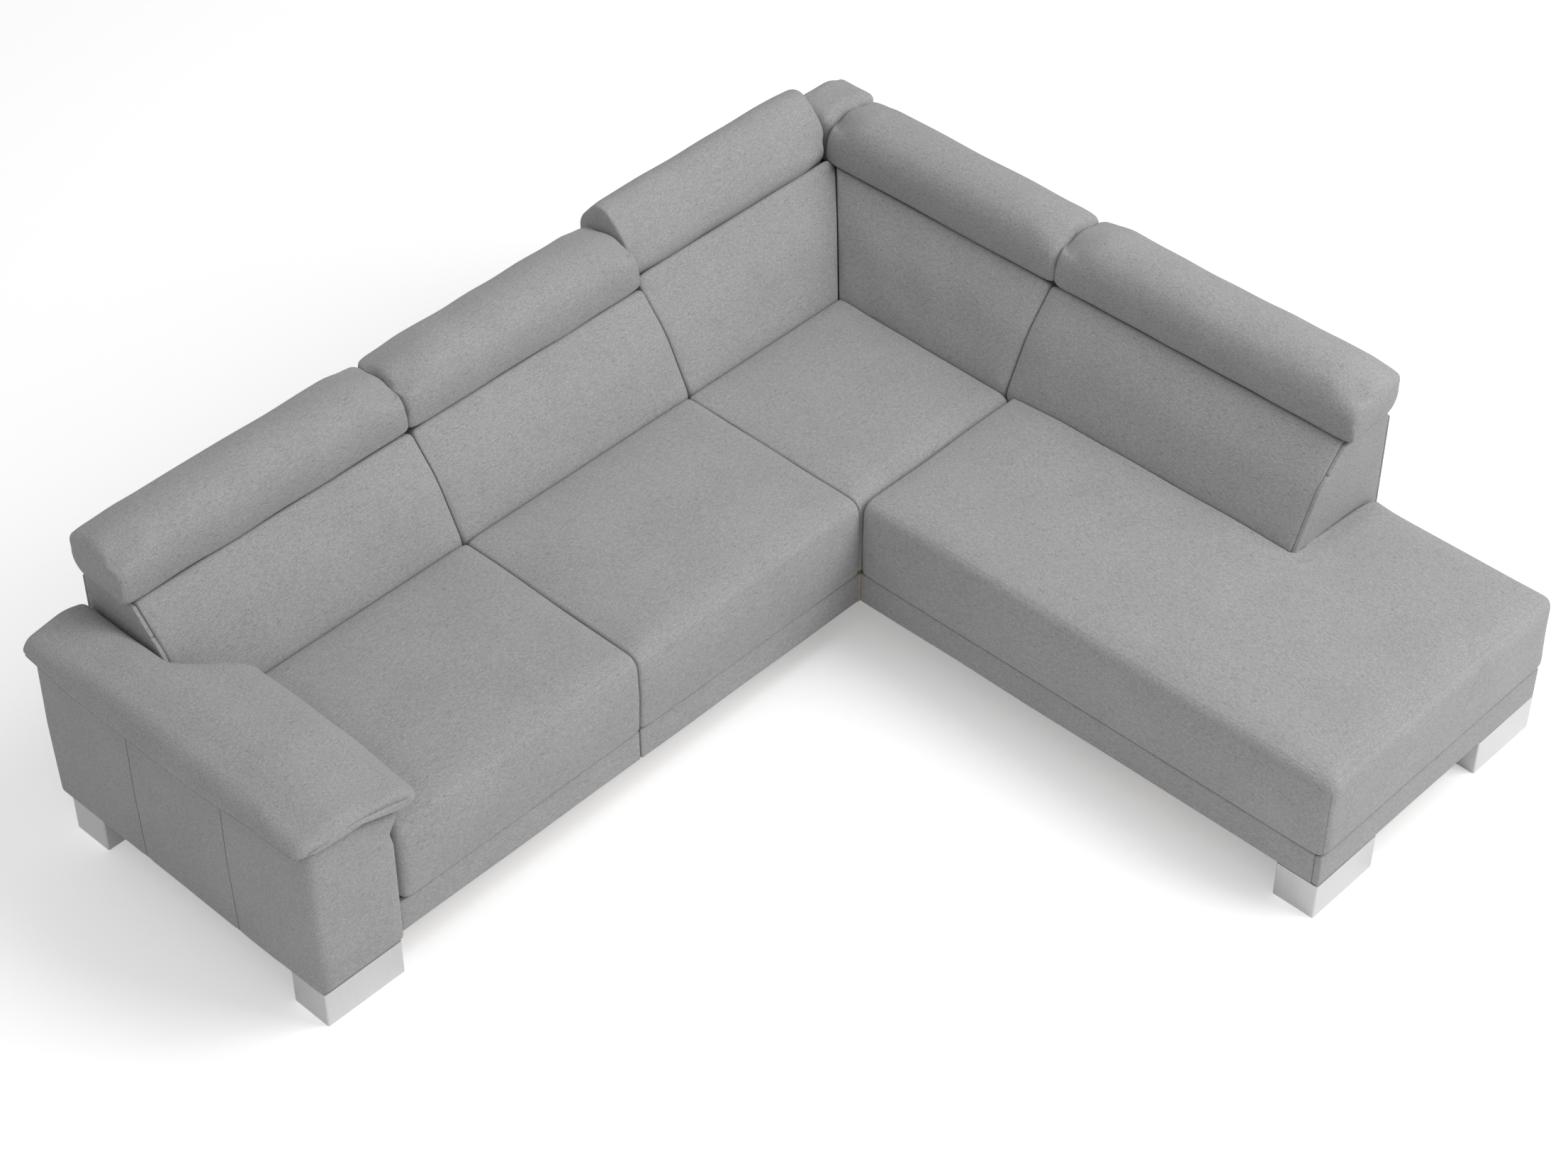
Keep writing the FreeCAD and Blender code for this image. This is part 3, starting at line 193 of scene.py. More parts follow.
@dataclass(frozen=True)
class WovenFabric:
    """Soft woven upholstery cloth with thick dark yarns among fine pale ones."""

    name: str
    grain: Grain = Grain.ALONG_X
    colour: tuple[float, float, float] = (0.348, 0.348, 0.348)
    yarn: float = 0.0021
    fleck: float = 0.0019
    relief: float = 0.0006

    def _along(self, size: float, length: float) -> tuple[float, float, float]:
        """Return a stretch for yarns of a thickness and a length, along the grain."""
        wide, long = 1 / size, 1 / length
        return (long, wide, wide) if self.grain is Grain.ALONG_X else (wide, long, wide)

    def _across(self, size: float, length: float) -> tuple[float, float, float]:
        """Return a stretch for yarns across the grain."""
        wide, long = 1 / size, 1 / length
        return (wide, long, long) if self.grain is Grain.ALONG_X else (long, wide, long)

    def material(self) -> bpy.types.Material:
        """Build the cloth's material.

        Returns:
            The material.
        """
        material, sheet, shader = blank_material(self.name)
        weft = sheet.noise(self._along(self.yarn, self.yarn * 4.5), 1.0)
        warp = sheet.noise(self._across(self.yarn, self.yarn * 3.5), 1.0)
        fleck = sheet.noise((1 / self.fleck,) * 3, 1.0)
        slub = sheet.ramp(sheet.noise(self._along(self.yarn * 0.9, self.yarn * 8.0), 0.0), 0.66, 0.80, 0.0, 1.0)
        patch = sheet.noise((7.0, 7.0, 7.0), 4.0)
        nap = sheet.noise((1.7, 1.7, 1.7), 2.0)
        shade = sheet.ramp(patch, 0.3, 0.7, 0.975, 1.022)
        layers = ((nap, 0.985, 1.015), (fleck, 0.86, 1.13), (weft, 0.90, 1.09), (warp, 0.93, 1.06))
        for value, low, high in layers:
            shade = sheet.math("MULTIPLY", shade, sheet.ramp(value, 0.3, 0.7, low, high))
        shade = sheet.math("MULTIPLY", shade, sheet.math("SUBTRACT", 1.0, sheet.math("MULTIPLY", slub, 0.24)))
        tones = [sheet.math("MULTIPLY", shade, part) for part in self.colour]
        mixed = sheet.add("ShaderNodeCombineColor", dict(enumerate(tones))).outputs[0]
        sheet.tree.links.new(mixed, shader.inputs["Base Color"])
        height = sheet.math("ADD", sheet.math("MULTIPLY", weft, 0.7), sheet.math("MULTIPLY", warp, 0.5))
        height = sheet.math("ADD", height, sheet.math("MULTIPLY", fleck, 0.6))
        height = sheet.math("SUBTRACT", height, sheet.math("MULTIPLY", slub, 0.3))
        pucker = sheet.add("ShaderNodeAttribute", attribute_name="pucker").outputs["Fac"]
        crease = sheet.noise((70.0, 70.0, 70.0), 2.0)
        ridges = sheet.math("MULTIPLY", sheet.math("MULTIPLY", crease, pucker), 5.0)
        bump = sheet.add("ShaderNodeBump", {
            "Strength": 0.6, "Distance": self.relief, "Height": sheet.math("ADD", height, ridges),
        })
        sheet.tree.links.new(bump.outputs[0], shader.inputs["Normal"])
        shader.inputs["Roughness"].default_value = 0.93
        shader.inputs["Specular IOR Level"].default_value = 0.18
        shader.inputs["Sheen Weight"].default_value = 0.10
        shader.inputs["Sheen Roughness"].default_value = 0.45
        return material


@dataclass(frozen=True)
class GrainedFinish:
    """A hard finish: sawn timber, satin metal or moulded plastic, with its own grain."""

    name: str
    colour: tuple[float, float, float]
    metallic: float = 0.0
    roughness: float = 0.5
    grain: tuple[float, float, float] = (40.0, 40.0, 40.0)
    contrast: float = 0.1
    relief: float = 0.0002

    def material(self) -> bpy.types.Material:
        """Build the finish's material.

        Returns:
            The material.
        """
        material, sheet, shader = blank_material(self.name)
        streak = sheet.noise(self.grain, 5.0)
        low = tuple(c * (1 - self.contrast) for c in self.colour)
        high = tuple(min(1.0, c * (1 + self.contrast)) for c in self.colour)
        ramp = sheet.add("ShaderNodeValToRGB", {"Fac": streak})
        ramp.color_ramp.elements[0].position = 0.35
        ramp.color_ramp.elements[0].color = (*low, 1.0)
        ramp.color_ramp.elements[1].position = 0.65
        ramp.color_ramp.elements[1].color = (*high, 1.0)
        sheet.tree.links.new(ramp.outputs[0], shader.inputs["Base Color"])
        bump = sheet.add("ShaderNodeBump", {"Strength": 0.4, "Distance": self.relief, "Height": streak})
        sheet.tree.links.new(bump.outputs[0], shader.inputs["Normal"])
        wear = sheet.ramp(streak, 0.3, 0.7, self.roughness * 0.85, min(1.0, self.roughness * 1.15))
        sheet.tree.links.new(wear, shader.inputs["Roughness"])
        shader.inputs["Metallic"].default_value = self.metallic
        return material


@dataclass
class Finishes:
    """Every material of the sofa, by the record's slot or by its use."""

    made: dict[str, bpy.types.Material] = field(default_factory=dict)

    def build(self) -> None:
        """Make the materials."""
        cloths = [
            WovenFabric("woven_main", Grain.ALONG_X),
            WovenFabric("woven_side", Grain.ALONG_Y),
            WovenFabric("seam_shadow", colour=(0.22, 0.22, 0.22)),
            WovenFabric("thread", colour=(0.37, 0.37, 0.37), yarn=0.0008, fleck=0.0006, relief=0.0002),
            WovenFabric("webbing", colour=(0.09, 0.09, 0.10), yarn=0.0026),
            WovenFabric("lining_cloth", colour=(0.05, 0.05, 0.055), yarn=0.0012),
        ]
        hard = [
            GrainedFinish("frame_timber", (0.62, 0.47, 0.31), 0.0, 0.65, (6.0, 60.0, 60.0), 0.16),
            GrainedFinish("plywood", (0.68, 0.53, 0.36), 0.0, 0.6, (9.0, 9.0, 500.0), 0.12),
            GrainedFinish("foot_metal", (0.69, 0.69, 0.695), 0.55, 0.36, (500.0, 500.0, 7.0), 0.03, 0.00006),
            GrainedFinish("fitting_steel", (0.06, 0.06, 0.065), 0.0, 0.45, (90.0,) * 3, 0.08, 0.0001),
            GrainedFinish("spring_steel", (0.42, 0.42, 0.43), 1.0, 0.35, (300.0,) * 3, 0.08, 0.0001),
            GrainedFinish("zinc_steel", (0.60, 0.60, 0.58), 1.0, 0.38, (200.0,) * 3, 0.06, 0.0001),
            GrainedFinish("black_plastic", (0.035, 0.035, 0.037), 0.0, 0.55, (400.0,) * 3, 0.1, 0.0001),
        ]
        for finish in cloths + hard:
            self.made[finish.name] = finish.material()
        self.made["woven_fabric"] = self.made["woven_main"]

    def cloth(self, wing: Wing) -> bpy.types.Material:
        """Return the upholstery cloth with its yarns along a wing."""
        return self.made["woven_main" if wing is Wing.MAIN else "woven_side"]


# Shapes


def rounded(corners: Sequence[Corner], inset: float, count: int) -> np.ndarray:
    """A closed outline with a radius at each corner, drawn in all round.

    Args:
        corners: the outline's corners, each across, up and radius.
        inset: how far the whole outline is drawn in.
        count: how many points it gets, evenly spaced.

    Returns:
        The points, count by 2.
    """
    points = np.array([corner[:2] for corner in corners])
    radii = [corner[2] for corner in corners]
    after = np.roll(points, -1, axis=0)
    turn = np.sum(points[:, 0] * after[:, 1] - after[:, 0] * points[:, 1])
    side = (after - points) / np.linalg.norm(after - points, axis=1)[:, None]
    normal = np.sign(turn) * np.stack([-side[:, 1], side[:, 0]], axis=1)
    before = np.roll(normal, 1, axis=0)
    points = points + (before + normal) * (inset / (1 + np.sum(before * normal, axis=1)))[:, None]
    path: list[np.ndarray] = []
    total = len(points)
    for index in range(total):
        here = points[index]
        back = points[index - 1] - here
        ahead = points[(index + 1) % total] - here
        back_length, ahead_length = np.linalg.norm(back), np.linalg.norm(ahead)
        back, ahead = back / back_length, ahead / ahead_length
        half = 0.5 * math.acos(float(np.clip(back @ ahead, -0.9999, 0.9999)))
        radius = max(radii[index] - inset, 0.25 * radii[index], 0.0005)
        reach = min(radius / math.tan(half), 0.47 * min(back_length, ahead_length))
        radius = reach * math.tan(half)
        centre = here + (back + ahead) / np.linalg.norm(back + ahead) * radius / math.sin(half)
        start, end = here + back * reach - centre, here + ahead * reach - centre
        for share in np.linspace(0.0, 1.0, 9):
            mix = start * (1 - share) + end * share
            path.append(centre + mix / np.linalg.norm(mix) * radius)
    line = np.array(path + path[:1])
    steps = np.concatenate([[0.0], np.cumsum(np.linalg.norm(np.diff(line, axis=0), axis=1))])
    wanted = np.linspace(0.0, steps[-1], count, endpoint=False)
    return np.stack([np.interp(wanted, steps, line[:, axis]) for axis in (0, 1)], axis=1)


def path_of(u: np.ndarray | float, v: np.ndarray | float, z: np.ndarray | float) -> np.ndarray:
    """Return a path's points as u, v and z, where each may be a single value."""
    return np.column_stack(np.broadcast_arrays(u, v, z))


def smooth_step(value: np.ndarray | float, low: float, high: float) -> np.ndarray:
    """Return 0 below low, 1 above high and a smooth rise between them."""
    share = np.clip((np.asarray(value, float) - low) / (high - low), 0.0, 1.0)
    return share * share * (3 - 2 * share)


def ripple(points: np.ndarray, seed: int, wavelength: float) -> np.ndarray:
    """Gentle unevenness of hand-stuffed upholstery.

    Args:
        points: the points, n by 3.
        seed: which unevenness.
        wavelength: its rough wavelength in metres.

    Returns:
        A value between about -1 and 1 for each point.
    """
    source = np.random.default_rng(seed)
    total = np.zeros(len(points))
    for _ in range(7):
        direction = source.normal(size=3)
        direction *= 2 * math.pi / (wavelength * source.uniform(0.7, 1.6)) / np.linalg.norm(direction)
        total += np.sin(points @ direction + source.uniform(0, 2 * math.pi))
    return total / 3.5


@dataclass(frozen=True)
class End:
    """How a form closes at an end: a rounded edge, and a longer, softer draw behind it."""

    radius: float = 0.012
    depth: float = 0.0
    reach: float = 0.05
    swell: float = 0.0
    steps: int = 7

    def draw(self, distance: float) -> float:
        """Return how far the outline is drawn in at a distance from the end."""
        return self.depth * max(0.0, 1 - distance / self.reach) ** 2


@dataclass
class Shell:
    """A closed skin made of rings of points, with a pole at each end."""

    rings: np.ndarray
    poles: np.ndarray

    @classmethod
    def loft(
        cls,
        outline: Outline,
        low: float,
        high: float,
        spacing: float,
        ends: tuple[End, End],
    ) -> Shell:
        """Stretch an outline along u and close its ends.

        Args:
            outline: the points across at a station, for an inset.
            low: where the form starts.
            high: where it ends.
            spacing: the distance between rings.
            ends: how the form closes at its low and at its high end.

        Returns:
            The skin, each point as u, v and z.
        """
        poles: list[np.ndarray] = []

        def ring(u: float, inset: float) -> np.ndarray:
            """Place one ring.

            Args:
                u: where it is.
                inset: how far it is drawn in, beside the ends' own draw.

            Returns:
                The ring's points.
            """
            soft = sum(end.draw(abs(u - place)) for end, place in zip(ends, (low, high)))
            flat = outline(u, inset + soft)
            return np.column_stack([np.full(len(flat), u), flat])

        def closed(u: float, end: End, sign: int) -> list[np.ndarray]:
            """Close an end, and keep its pole.

            Args:
                u: where the end is.
                end: how it closes.
                sign: 1 at the low end and -1 at the high end.

            Returns:
                The end's rings, from the middle outwards.
            """
            made: list[np.ndarray] = []
            edge = ring(u, end.radius)
            centre = edge.mean(axis=0)
            for share in (0.10, 0.24, 0.40, 0.56, 0.72, 0.86, 0.95):
                inner = centre + (edge - centre) * share
                inner[:, 0] = u - sign * end.swell * (1 - share**2)
                made.append(inner)
            pole = centre.copy()
            pole[0] = u - sign * end.swell
            poles.append(pole)
            for angle in np.linspace(90.0, 0.0, end.steps):
                a = math.radians(angle)
                made.append(ring(u + sign * end.radius * (1 - math.sin(a)), end.radius * (1 - math.cos(a))))
            return made

        stack = closed(low, ends[0], 1)
        places = [low + ends[0].radius]
        last = high - ends[1].radius
        while places[-1] < last:
            near = min(places[-1] - low, high - places[-1])
            places.append(places[-1] + spacing * (0.55 if near < 0.05 else 1.0))
        scale = (last - places[0]) / (places[-1] - places[0])
        stack += [ring(places[0] + (place - places[0]) * scale, 0.0) for place in places[1:-1]]
        stack += reversed(closed(high, ends[1], -1))
        return cls(np.array(stack), np.array(poles))

    @property
    def points(self) -> np.ndarray:
        """All points: the rings in order, then the two poles."""
        return np.concatenate([self.rings.reshape(-1, 3), self.poles])

    @points.setter
    def points(self, value: np.ndarray) -> None:
        """Put back all points."""
        self.rings = value[:-2].reshape(self.rings.shape)
        self.poles = value[-2:]

    def _corners(self) -> tuple[np.ndarray, np.ndarray]:
        """Find the faces' corners.

        Returns:
            The side faces, four corners each, and the pole faces, three corners each.
        """
        count, around = self.rings.shape[:2]
        i, j = np.meshgrid(np.arange(count - 1), np.arange(around), indexing="ij")
        k = (j + 1) % around
        here, next_ring = i * around, (i + 1) * around
        sides = np.stack([here + j, here + k, next_ring + k, next_ring + j], axis=-1)
        j, last = np.arange(around), (count - 1) * around
        k = (j + 1) % around
        low, high = np.full(around, count * around), np.full(around, count * around + 1)
        caps = np.concatenate([np.stack([low, k, j], axis=1), np.stack([high, last + j, last + k], axis=1)])
        sides = sides.reshape(-1, 4)
        centred = self.points - self.points.mean(axis=0)
        a, b, c, d = (centred[sides[:, n]] for n in range(4))
        if np.sum((a + b + c + d) * np.cross(c - a, d - b)) < 0:
            return sides[:, ::-1], caps[:, ::-1]
        return sides, caps

    def faces(self) -> list[tuple[int, ...]]:
        """Return the faces, pointing outwards."""
        sides, caps = self._corners()
        return [tuple(face) for face in sides.tolist()] + [tuple(face) for face in caps.tolist()]

    def normals(self) -> np.ndarray:
        """Find the outward directions.

        Returns:
            A unit vector for each point.
        """
        points = self.points
        sides, caps = self._corners()
        total = np.zeros_like(points)
        a, b, c, d = (points[sides[:, n]] for n in range(4))
        for n in range(4):
            np.add.at(total, sides[:, n], np.cross(c - a, d - b))
        a, b, c = (points[caps[:, n]] for n in range(3))
        for n in range(3):
            np.add.at(total, caps[:, n], np.cross(b - a, c - a))
        return total / np.maximum(np.linalg.norm(total, axis=1), 1e-12)[:, None]


def mesh_object(
    name: str, points: np.ndarray, faces: Sequence[Sequence[int]], weld: float = 0.00005,
) -> bpy.types.Object:
    """Make a closed mesh object from points and faces.

    Args:
        name: the object's name.
        points: the points, n by 3, in metres in the row frame.
        faces: the faces.
        weld: points nearer than this are joined.

    Returns:
        The object, smooth shaded.
    """
    mesh = bpy.data.meshes.new(name)
    mesh.from_pydata([tuple(p) for p in points], [], [tuple(f) for f in faces])
    form = bmesh.new()
    form.from_mesh(mesh)
    bmesh.ops.remove_doubles(form, verts=form.verts, dist=weld)
    bmesh.ops.dissolve_degenerate(form, edges=form.edges, dist=weld)
    form.to_mesh(mesh)
    form.free()
    mesh.shade_smooth()
    item = bpy.data.objects.new(name, mesh)
    bpy.context.scene.collection.objects.link(item)
    return item


def baked(item: bpy.types.Object) -> bpy.types.Object:
    """Turn an object's modifiers into plain mesh.

    Args:
        item: the object.

    Returns:
        The same object.
    """
    bpy.context.view_layer.update()
    graph = bpy.context.evaluated_depsgraph_get()
    mesh = bpy.data.meshes.new_from_object(item.evaluated_get(graph))
    item.modifiers.clear()
    item.data = mesh
    return item


def dressed(item: bpy.types.Object, material: bpy.types.Material, body: str) -> bpy.types.Object:
    """Give a piece its material and its body.

    Args:
        item: the piece.
        material: its material.
        body: the body that it rides on.

    Returns:
        The same piece.
    """
    item.data.materials.clear()
    item.data.materials.append(material)
    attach(item, body)
    return item


@dataclass
class SoftPiece:
    """One stuffed piece on its way from outline to finished mesh.

    Its rise is the most that the cloth may swell, and held says where the cloth is sewn down, 0 to 1.
    """

    name: str
    shell: Shell
    wing: Wing
    nodes: tuple[str, ...]
    body: str
    fill: float
    rise: float
    held: np.ndarray
    pucker: Callable[[np.ndarray], np.ndarray] | None = None
    item: bpy.types.Object | None = None
    tree: BVHTree | None = None

    def surface(self) -> BVHTree:
        """Find the finished surface.

        Returns:
            Its search tree.
        """
        if self.tree is None:
            mesh = self.item.data
            points = [v.co for v in mesh.vertices]
            self.tree = BVHTree.FromPolygons(points, [tuple(p.vertices) for p in mesh.polygons])
        return self.tree


@dataclass
class Workroom:
    """Where the layout is known, stuffed pieces are blown up and seams are sewn."""

    finishes: Finishes
    axis: tuple[float, float] = (0.0, 0.0)
    pieces: list[SoftPiece] = field(default_factory=list)
    frames: int = 20
    cloth_settings: dict[str, object] = field(default_factory=lambda: {
        "quality": 4, "mass": 0.3, "tension_stiffness": 12.0, "compression_stiffness": 12.0,
        "shear_stiffness": 4.0, "bending_stiffness": 0.8, "use_pressure": True,
        "uniform_pressure_force": 4.0, "vertex_group_mass": "held",
    })

    def measure(self) -> None:
        """Find the corner axis from the rear panels, 43 mm behind it."""
        reach = 0.043
        self.axis = (
            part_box("rear_panel_corner_right")[1][0] - reach,
            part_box("rear_panel_main")[1][1] - reach,
        )

    def world(self, points: np.ndarray, wing: Wing) -> np.ndarray:
        """Turn points from a wing's own directions to the row frame.

        Args:
            points: the points as u, v and z.
            wing: the wing.

        Returns:
            The points as x, y and z.
        """
        u, v, z = points[:, 0], points[:, 1], points[:, 2]
        if wing is Wing.MAIN:
            return np.column_stack([self.axis[0] + u, self.axis[1] + v, z])
        return np.column_stack([self.axis[0] + v, self.axis[1] - u, z])

    def stuffed(self, piece: SoftPiece) -> SoftPiece:
        """Put a piece on the list to be blown up."""
        self.pieces.append(piece)
        return piece

    def blow_up(self) -> None:
        """Run the cloth simulation once for all stuffed pieces, and keep its capped result."""
        scene = bpy.context.scene
        models: list[tuple[SoftPiece, bpy.types.Object]] = []
        for piece in self.pieces:
            mesh = bpy.data.meshes.new(piece.name + "_blank")
            mesh.from_pydata([tuple(p) for p in piece.shell.points], [], piece.shell.faces())
            model = bpy.data.objects.new(piece.name + "_blank", mesh)
            scene.collection.objects.link(model)
            group = model.vertex_groups.new(name="held")
            for index, weight in enumerate(piece.held):
                if weight > 0.001:
                    group.add([index], float(weight), "REPLACE")
            cloth = model.modifiers.new("Cloth", "CLOTH")
            for name, value in self.cloth_settings.items():
                setattr(cloth.settings, name, value)
            cloth.settings.effector_weights.gravity = 0.0
            cloth.collision_settings.use_collision = False
            cloth.point_cache.frame_start = 1
            cloth.point_cache.frame_end = self.frames
            models.append((piece, model))
        for frame_number in range(1, self.frames + 1):
            scene.frame_set(frame_number)
        graph = bpy.context.evaluated_depsgraph_get()
        for piece, model in models:
            result = model.evaluated_get(graph).data
            moved = np.empty(len(result.vertices) * 3)
            result.vertices.foreach_get("co", moved)
            step = moved.reshape(-1, 3) - piece.shell.points
            step[~np.isfinite(step)] = 0.0
            length = np.maximum(np.linalg.norm(step, axis=1), 1e-9)
            capped = piece.rise * np.tanh(length / piece.rise) / length
            piece.shell.points = piece.shell.points + step * capped[:, None]
            bpy.data.objects.remove(model)
        scene.frame_set(1)

    def finish_pieces(self) -> None:
        """Make each stuffed piece's final mesh."""
        self.blow_up()
        for piece in self.pieces:
            local = piece.shell.points
            item = mesh_object(piece.name, self.world(local, piece.wing), piece.shell.faces())
            smooth = item.modifiers.new("Smooth", "SUBSURF")
            smooth.levels = smooth.render_levels = 1
            baked(item)
            if piece.pucker is not None:
                spots = np.empty(len(item.data.vertices) * 3)
                item.data.vertices.foreach_get("co", spots)
                marks = item.data.attributes.new("pucker", "FLOAT", "POINT")
                marks.data.foreach_set("value", piece.pucker(spots.reshape(-1, 3)).astype(np.float32))
            dressed(item, self.finishes.cloth(piece.wing), piece.body)
            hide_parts(*piece.nodes)
            piece.item = item
            log.info("stuffed %s, %d faces", piece.name, len(item.data.polygons))


# Seams


class SeamWork:
    """Sewn lines: a thin welt sunk in the cloth, piping, and rows of single stitches."""

    finish: dict[str, str] = {"welt": "seam_shadow", "piping": "woven_side", "stitch": "thread"}
    sizes: dict[str, dict[str, float]] = {
        "welt": {"Radius": 0.0009}, "piping": {"Radius": 0.0027},
        "stitch": {"Spacing": 0.0058, "Length": 0.0040, "Radius": 0.0005},
    }

    def __init__(self, room: Workroom) -> None:
        """Build the two node trees.

        Args:
            room: the workroom whose pieces are sewn.
        """
        self.room = room
        tube = self._welt()
        self.trees = {"welt": tube, "piping": tube, "stitch": self._stitch()}
        self.made: dict[tuple[str, str], list[np.ndarray]] = {}

    @staticmethod
    def _tree(
        name: str, inputs: Sequence[tuple[str, str]],
    ) -> tuple[NodeSheet, dict[str, str], bpy.types.Node, bpy.types.Node]:
        """Start a node tree with named inputs.

        Args:
            name: the tree's name.
            inputs: each input's name and socket type.

        Returns:
            The sheet, the inputs' identifiers by name, and the tree's input and output nodes.
        """
        tree = bpy.data.node_groups.new(name, "GeometryNodeTree")
        tree.interface.new_socket("Geometry", in_out="INPUT", socket_type="NodeSocketGeometry")
        ids = {}
        for label, kind in inputs:
            ids[label] = tree.interface.new_socket(label, in_out="INPUT", socket_type=kind).identifier
        tree.interface.new_socket("Geometry", in_out="OUTPUT", socket_type="NodeSocketGeometry")
        sheet = NodeSheet(tree)
        return sheet, ids, sheet.add("NodeGroupInput"), sheet.add("NodeGroupOutput")

    @staticmethod
    def _painted(sheet: NodeSheet, shape: bpy.types.Node, start: bpy.types.Node, end: bpy.types.Node) -> None:
        """End a tree: make its shape real, give it its material and send it out.

        Args:
            sheet: the tree's sheet.
            shape: the node whose first output is the shape.
            start: the tree's input node.
            end: the tree's output node.
        """
        real = sheet.add("GeometryNodeRealizeInstances", {"Geometry": shape.outputs[0]})
        paint = sheet.add("GeometryNodeSetMaterial", {
            "Geometry": real.outputs[0], "Material": start.outputs["Material"],
        })
        sheet.tree.links.new(paint.outputs[0], end.inputs["Geometry"])

    def _welt(self) -> tuple[bpy.types.NodeTree, dict[str, str]]:
        """Build the tree of a welt: a thin tube along every edge line.

        Returns:
            The tree, and its inputs' identifiers by name.
        """
        inputs = [("Radius", "NodeSocketFloat"), ("Material", "NodeSocketMaterial")]
        sheet, ids, start, end = self._tree("Welt", inputs)
        line = sheet.add("GeometryNodeMeshToCurve", {"Mesh": start.outputs["Geometry"]})
        circle = sheet.add("GeometryNodeCurvePrimitiveCircle", {
            "Resolution": 6, "Radius": start.outputs["Radius"],
        })
        tube = sheet.add("GeometryNodeCurveToMesh", {
            "Curve": line.outputs[0], "Profile Curve": circle.outputs["Curve"], "Fill Caps": True,
        })
        self._painted(sheet, tube, start, end)
        return sheet.tree, ids

    def _stitch(self) -> tuple[bpy.types.NodeTree, dict[str, str]]:
        """Build the tree of a stitch row: one short thread at each step along every edge line.

        Returns:
            The tree, and its inputs' identifiers by name.
        """
        inputs = [
            ("Spacing", "NodeSocketFloat"), ("Length", "NodeSocketFloat"),
            ("Radius", "NodeSocketFloat"), ("Material", "NodeSocketMaterial"),
        ]
        sheet, ids, start, end = self._tree("StitchRow", inputs)
        line = sheet.add("GeometryNodeMeshToCurve", {"Mesh": start.outputs["Geometry"]})
        even = sheet.add("GeometryNodeResampleCurve", {
            "Curve": line.outputs[0], "Length": start.outputs["Spacing"],
        }, mode="LENGTH")
        thread = sheet.add("GeometryNodeMeshCylinder", {
            "Vertices": 5, "Radius": start.outputs["Radius"], "Depth": start.outputs["Length"],
        })
        tangent = sheet.add("GeometryNodeInputTangent")
        aim = sheet.add("FunctionNodeAlignRotationToVector", {"Vector": tangent.outputs[0]}, axis="Z")
        wobble = sheet.add("FunctionNodeRandomValue", data_type="FLOAT")
        wobble.inputs["Seed"].default_value = 11
        floats = [socket for socket in wobble.inputs if socket.type == "VALUE"]
        floats[0].default_value, floats[1].default_value = 0.9, 1.1
        size = [socket for socket in wobble.outputs if socket.type == "VALUE"][0]
        row = sheet.add("GeometryNodeInstanceOnPoints", {
            "Points": even.outputs[0], "Instance": thread.outputs["Mesh"],
            "Rotation": aim.outputs[0], "Scale": size,
        })
        self._painted(sheet, row, start, end)
        return sheet.tree, ids

    def line(self, kind: str, piece: SoftPiece, path: np.ndarray, lift: float, closed: bool = False) -> None:
        """Lay a sewn line on a finished piece.

        Args:
            kind: "welt", "piping" or "stitch".
            piece: the piece that it is sewn on.
            path: the line's points as u, v and z, near the surface.
            lift: how far the line's middle stands above the cloth.
            closed: whether its end meets its start.
        """
        tree = piece.surface()
        points = []
        for spot in self.room.world(path, piece.wing):
            found, normal, _, _ = tree.find_nearest(Vector(spot))
            points.append(np.array(found + normal * lift))
        if closed:
            points.append(points[0])
        self.made.setdefault((kind, piece.body), []).append(np.array(points))

    def sew(self) -> None:
        """Turn all lines into plain meshes: one for each kind and body."""
        made = self.room.finishes.made
        for (kind, body), lines in self.made.items():
            mesh = bpy.data.meshes.new(f"{kind}_{body}")
            points, edges = [], []
            for one in lines:
                start = len(points)
                points += [tuple(p) for p in one]
                edges += [(start + i, start + i + 1) for i in range(len(one) - 1)]
            mesh.from_pydata(points, edges, [])
            item = bpy.data.objects.new(f"{kind}_{body}", mesh)
            bpy.context.scene.collection.objects.link(item)
            modifier = item.modifiers.new("Sewing", "NODES")
            modifier.node_group, ids = self.trees[kind]
            finish = made[self.finish[kind]]
            for label, value in {**self.sizes[kind], "Material": finish}.items():
                modifier[ids[label]] = value
            baked(item)
            dressed(item, finish, body)
            log.info("sewn %s, %d faces", item.name, len(item.data.polygons))


# Seats


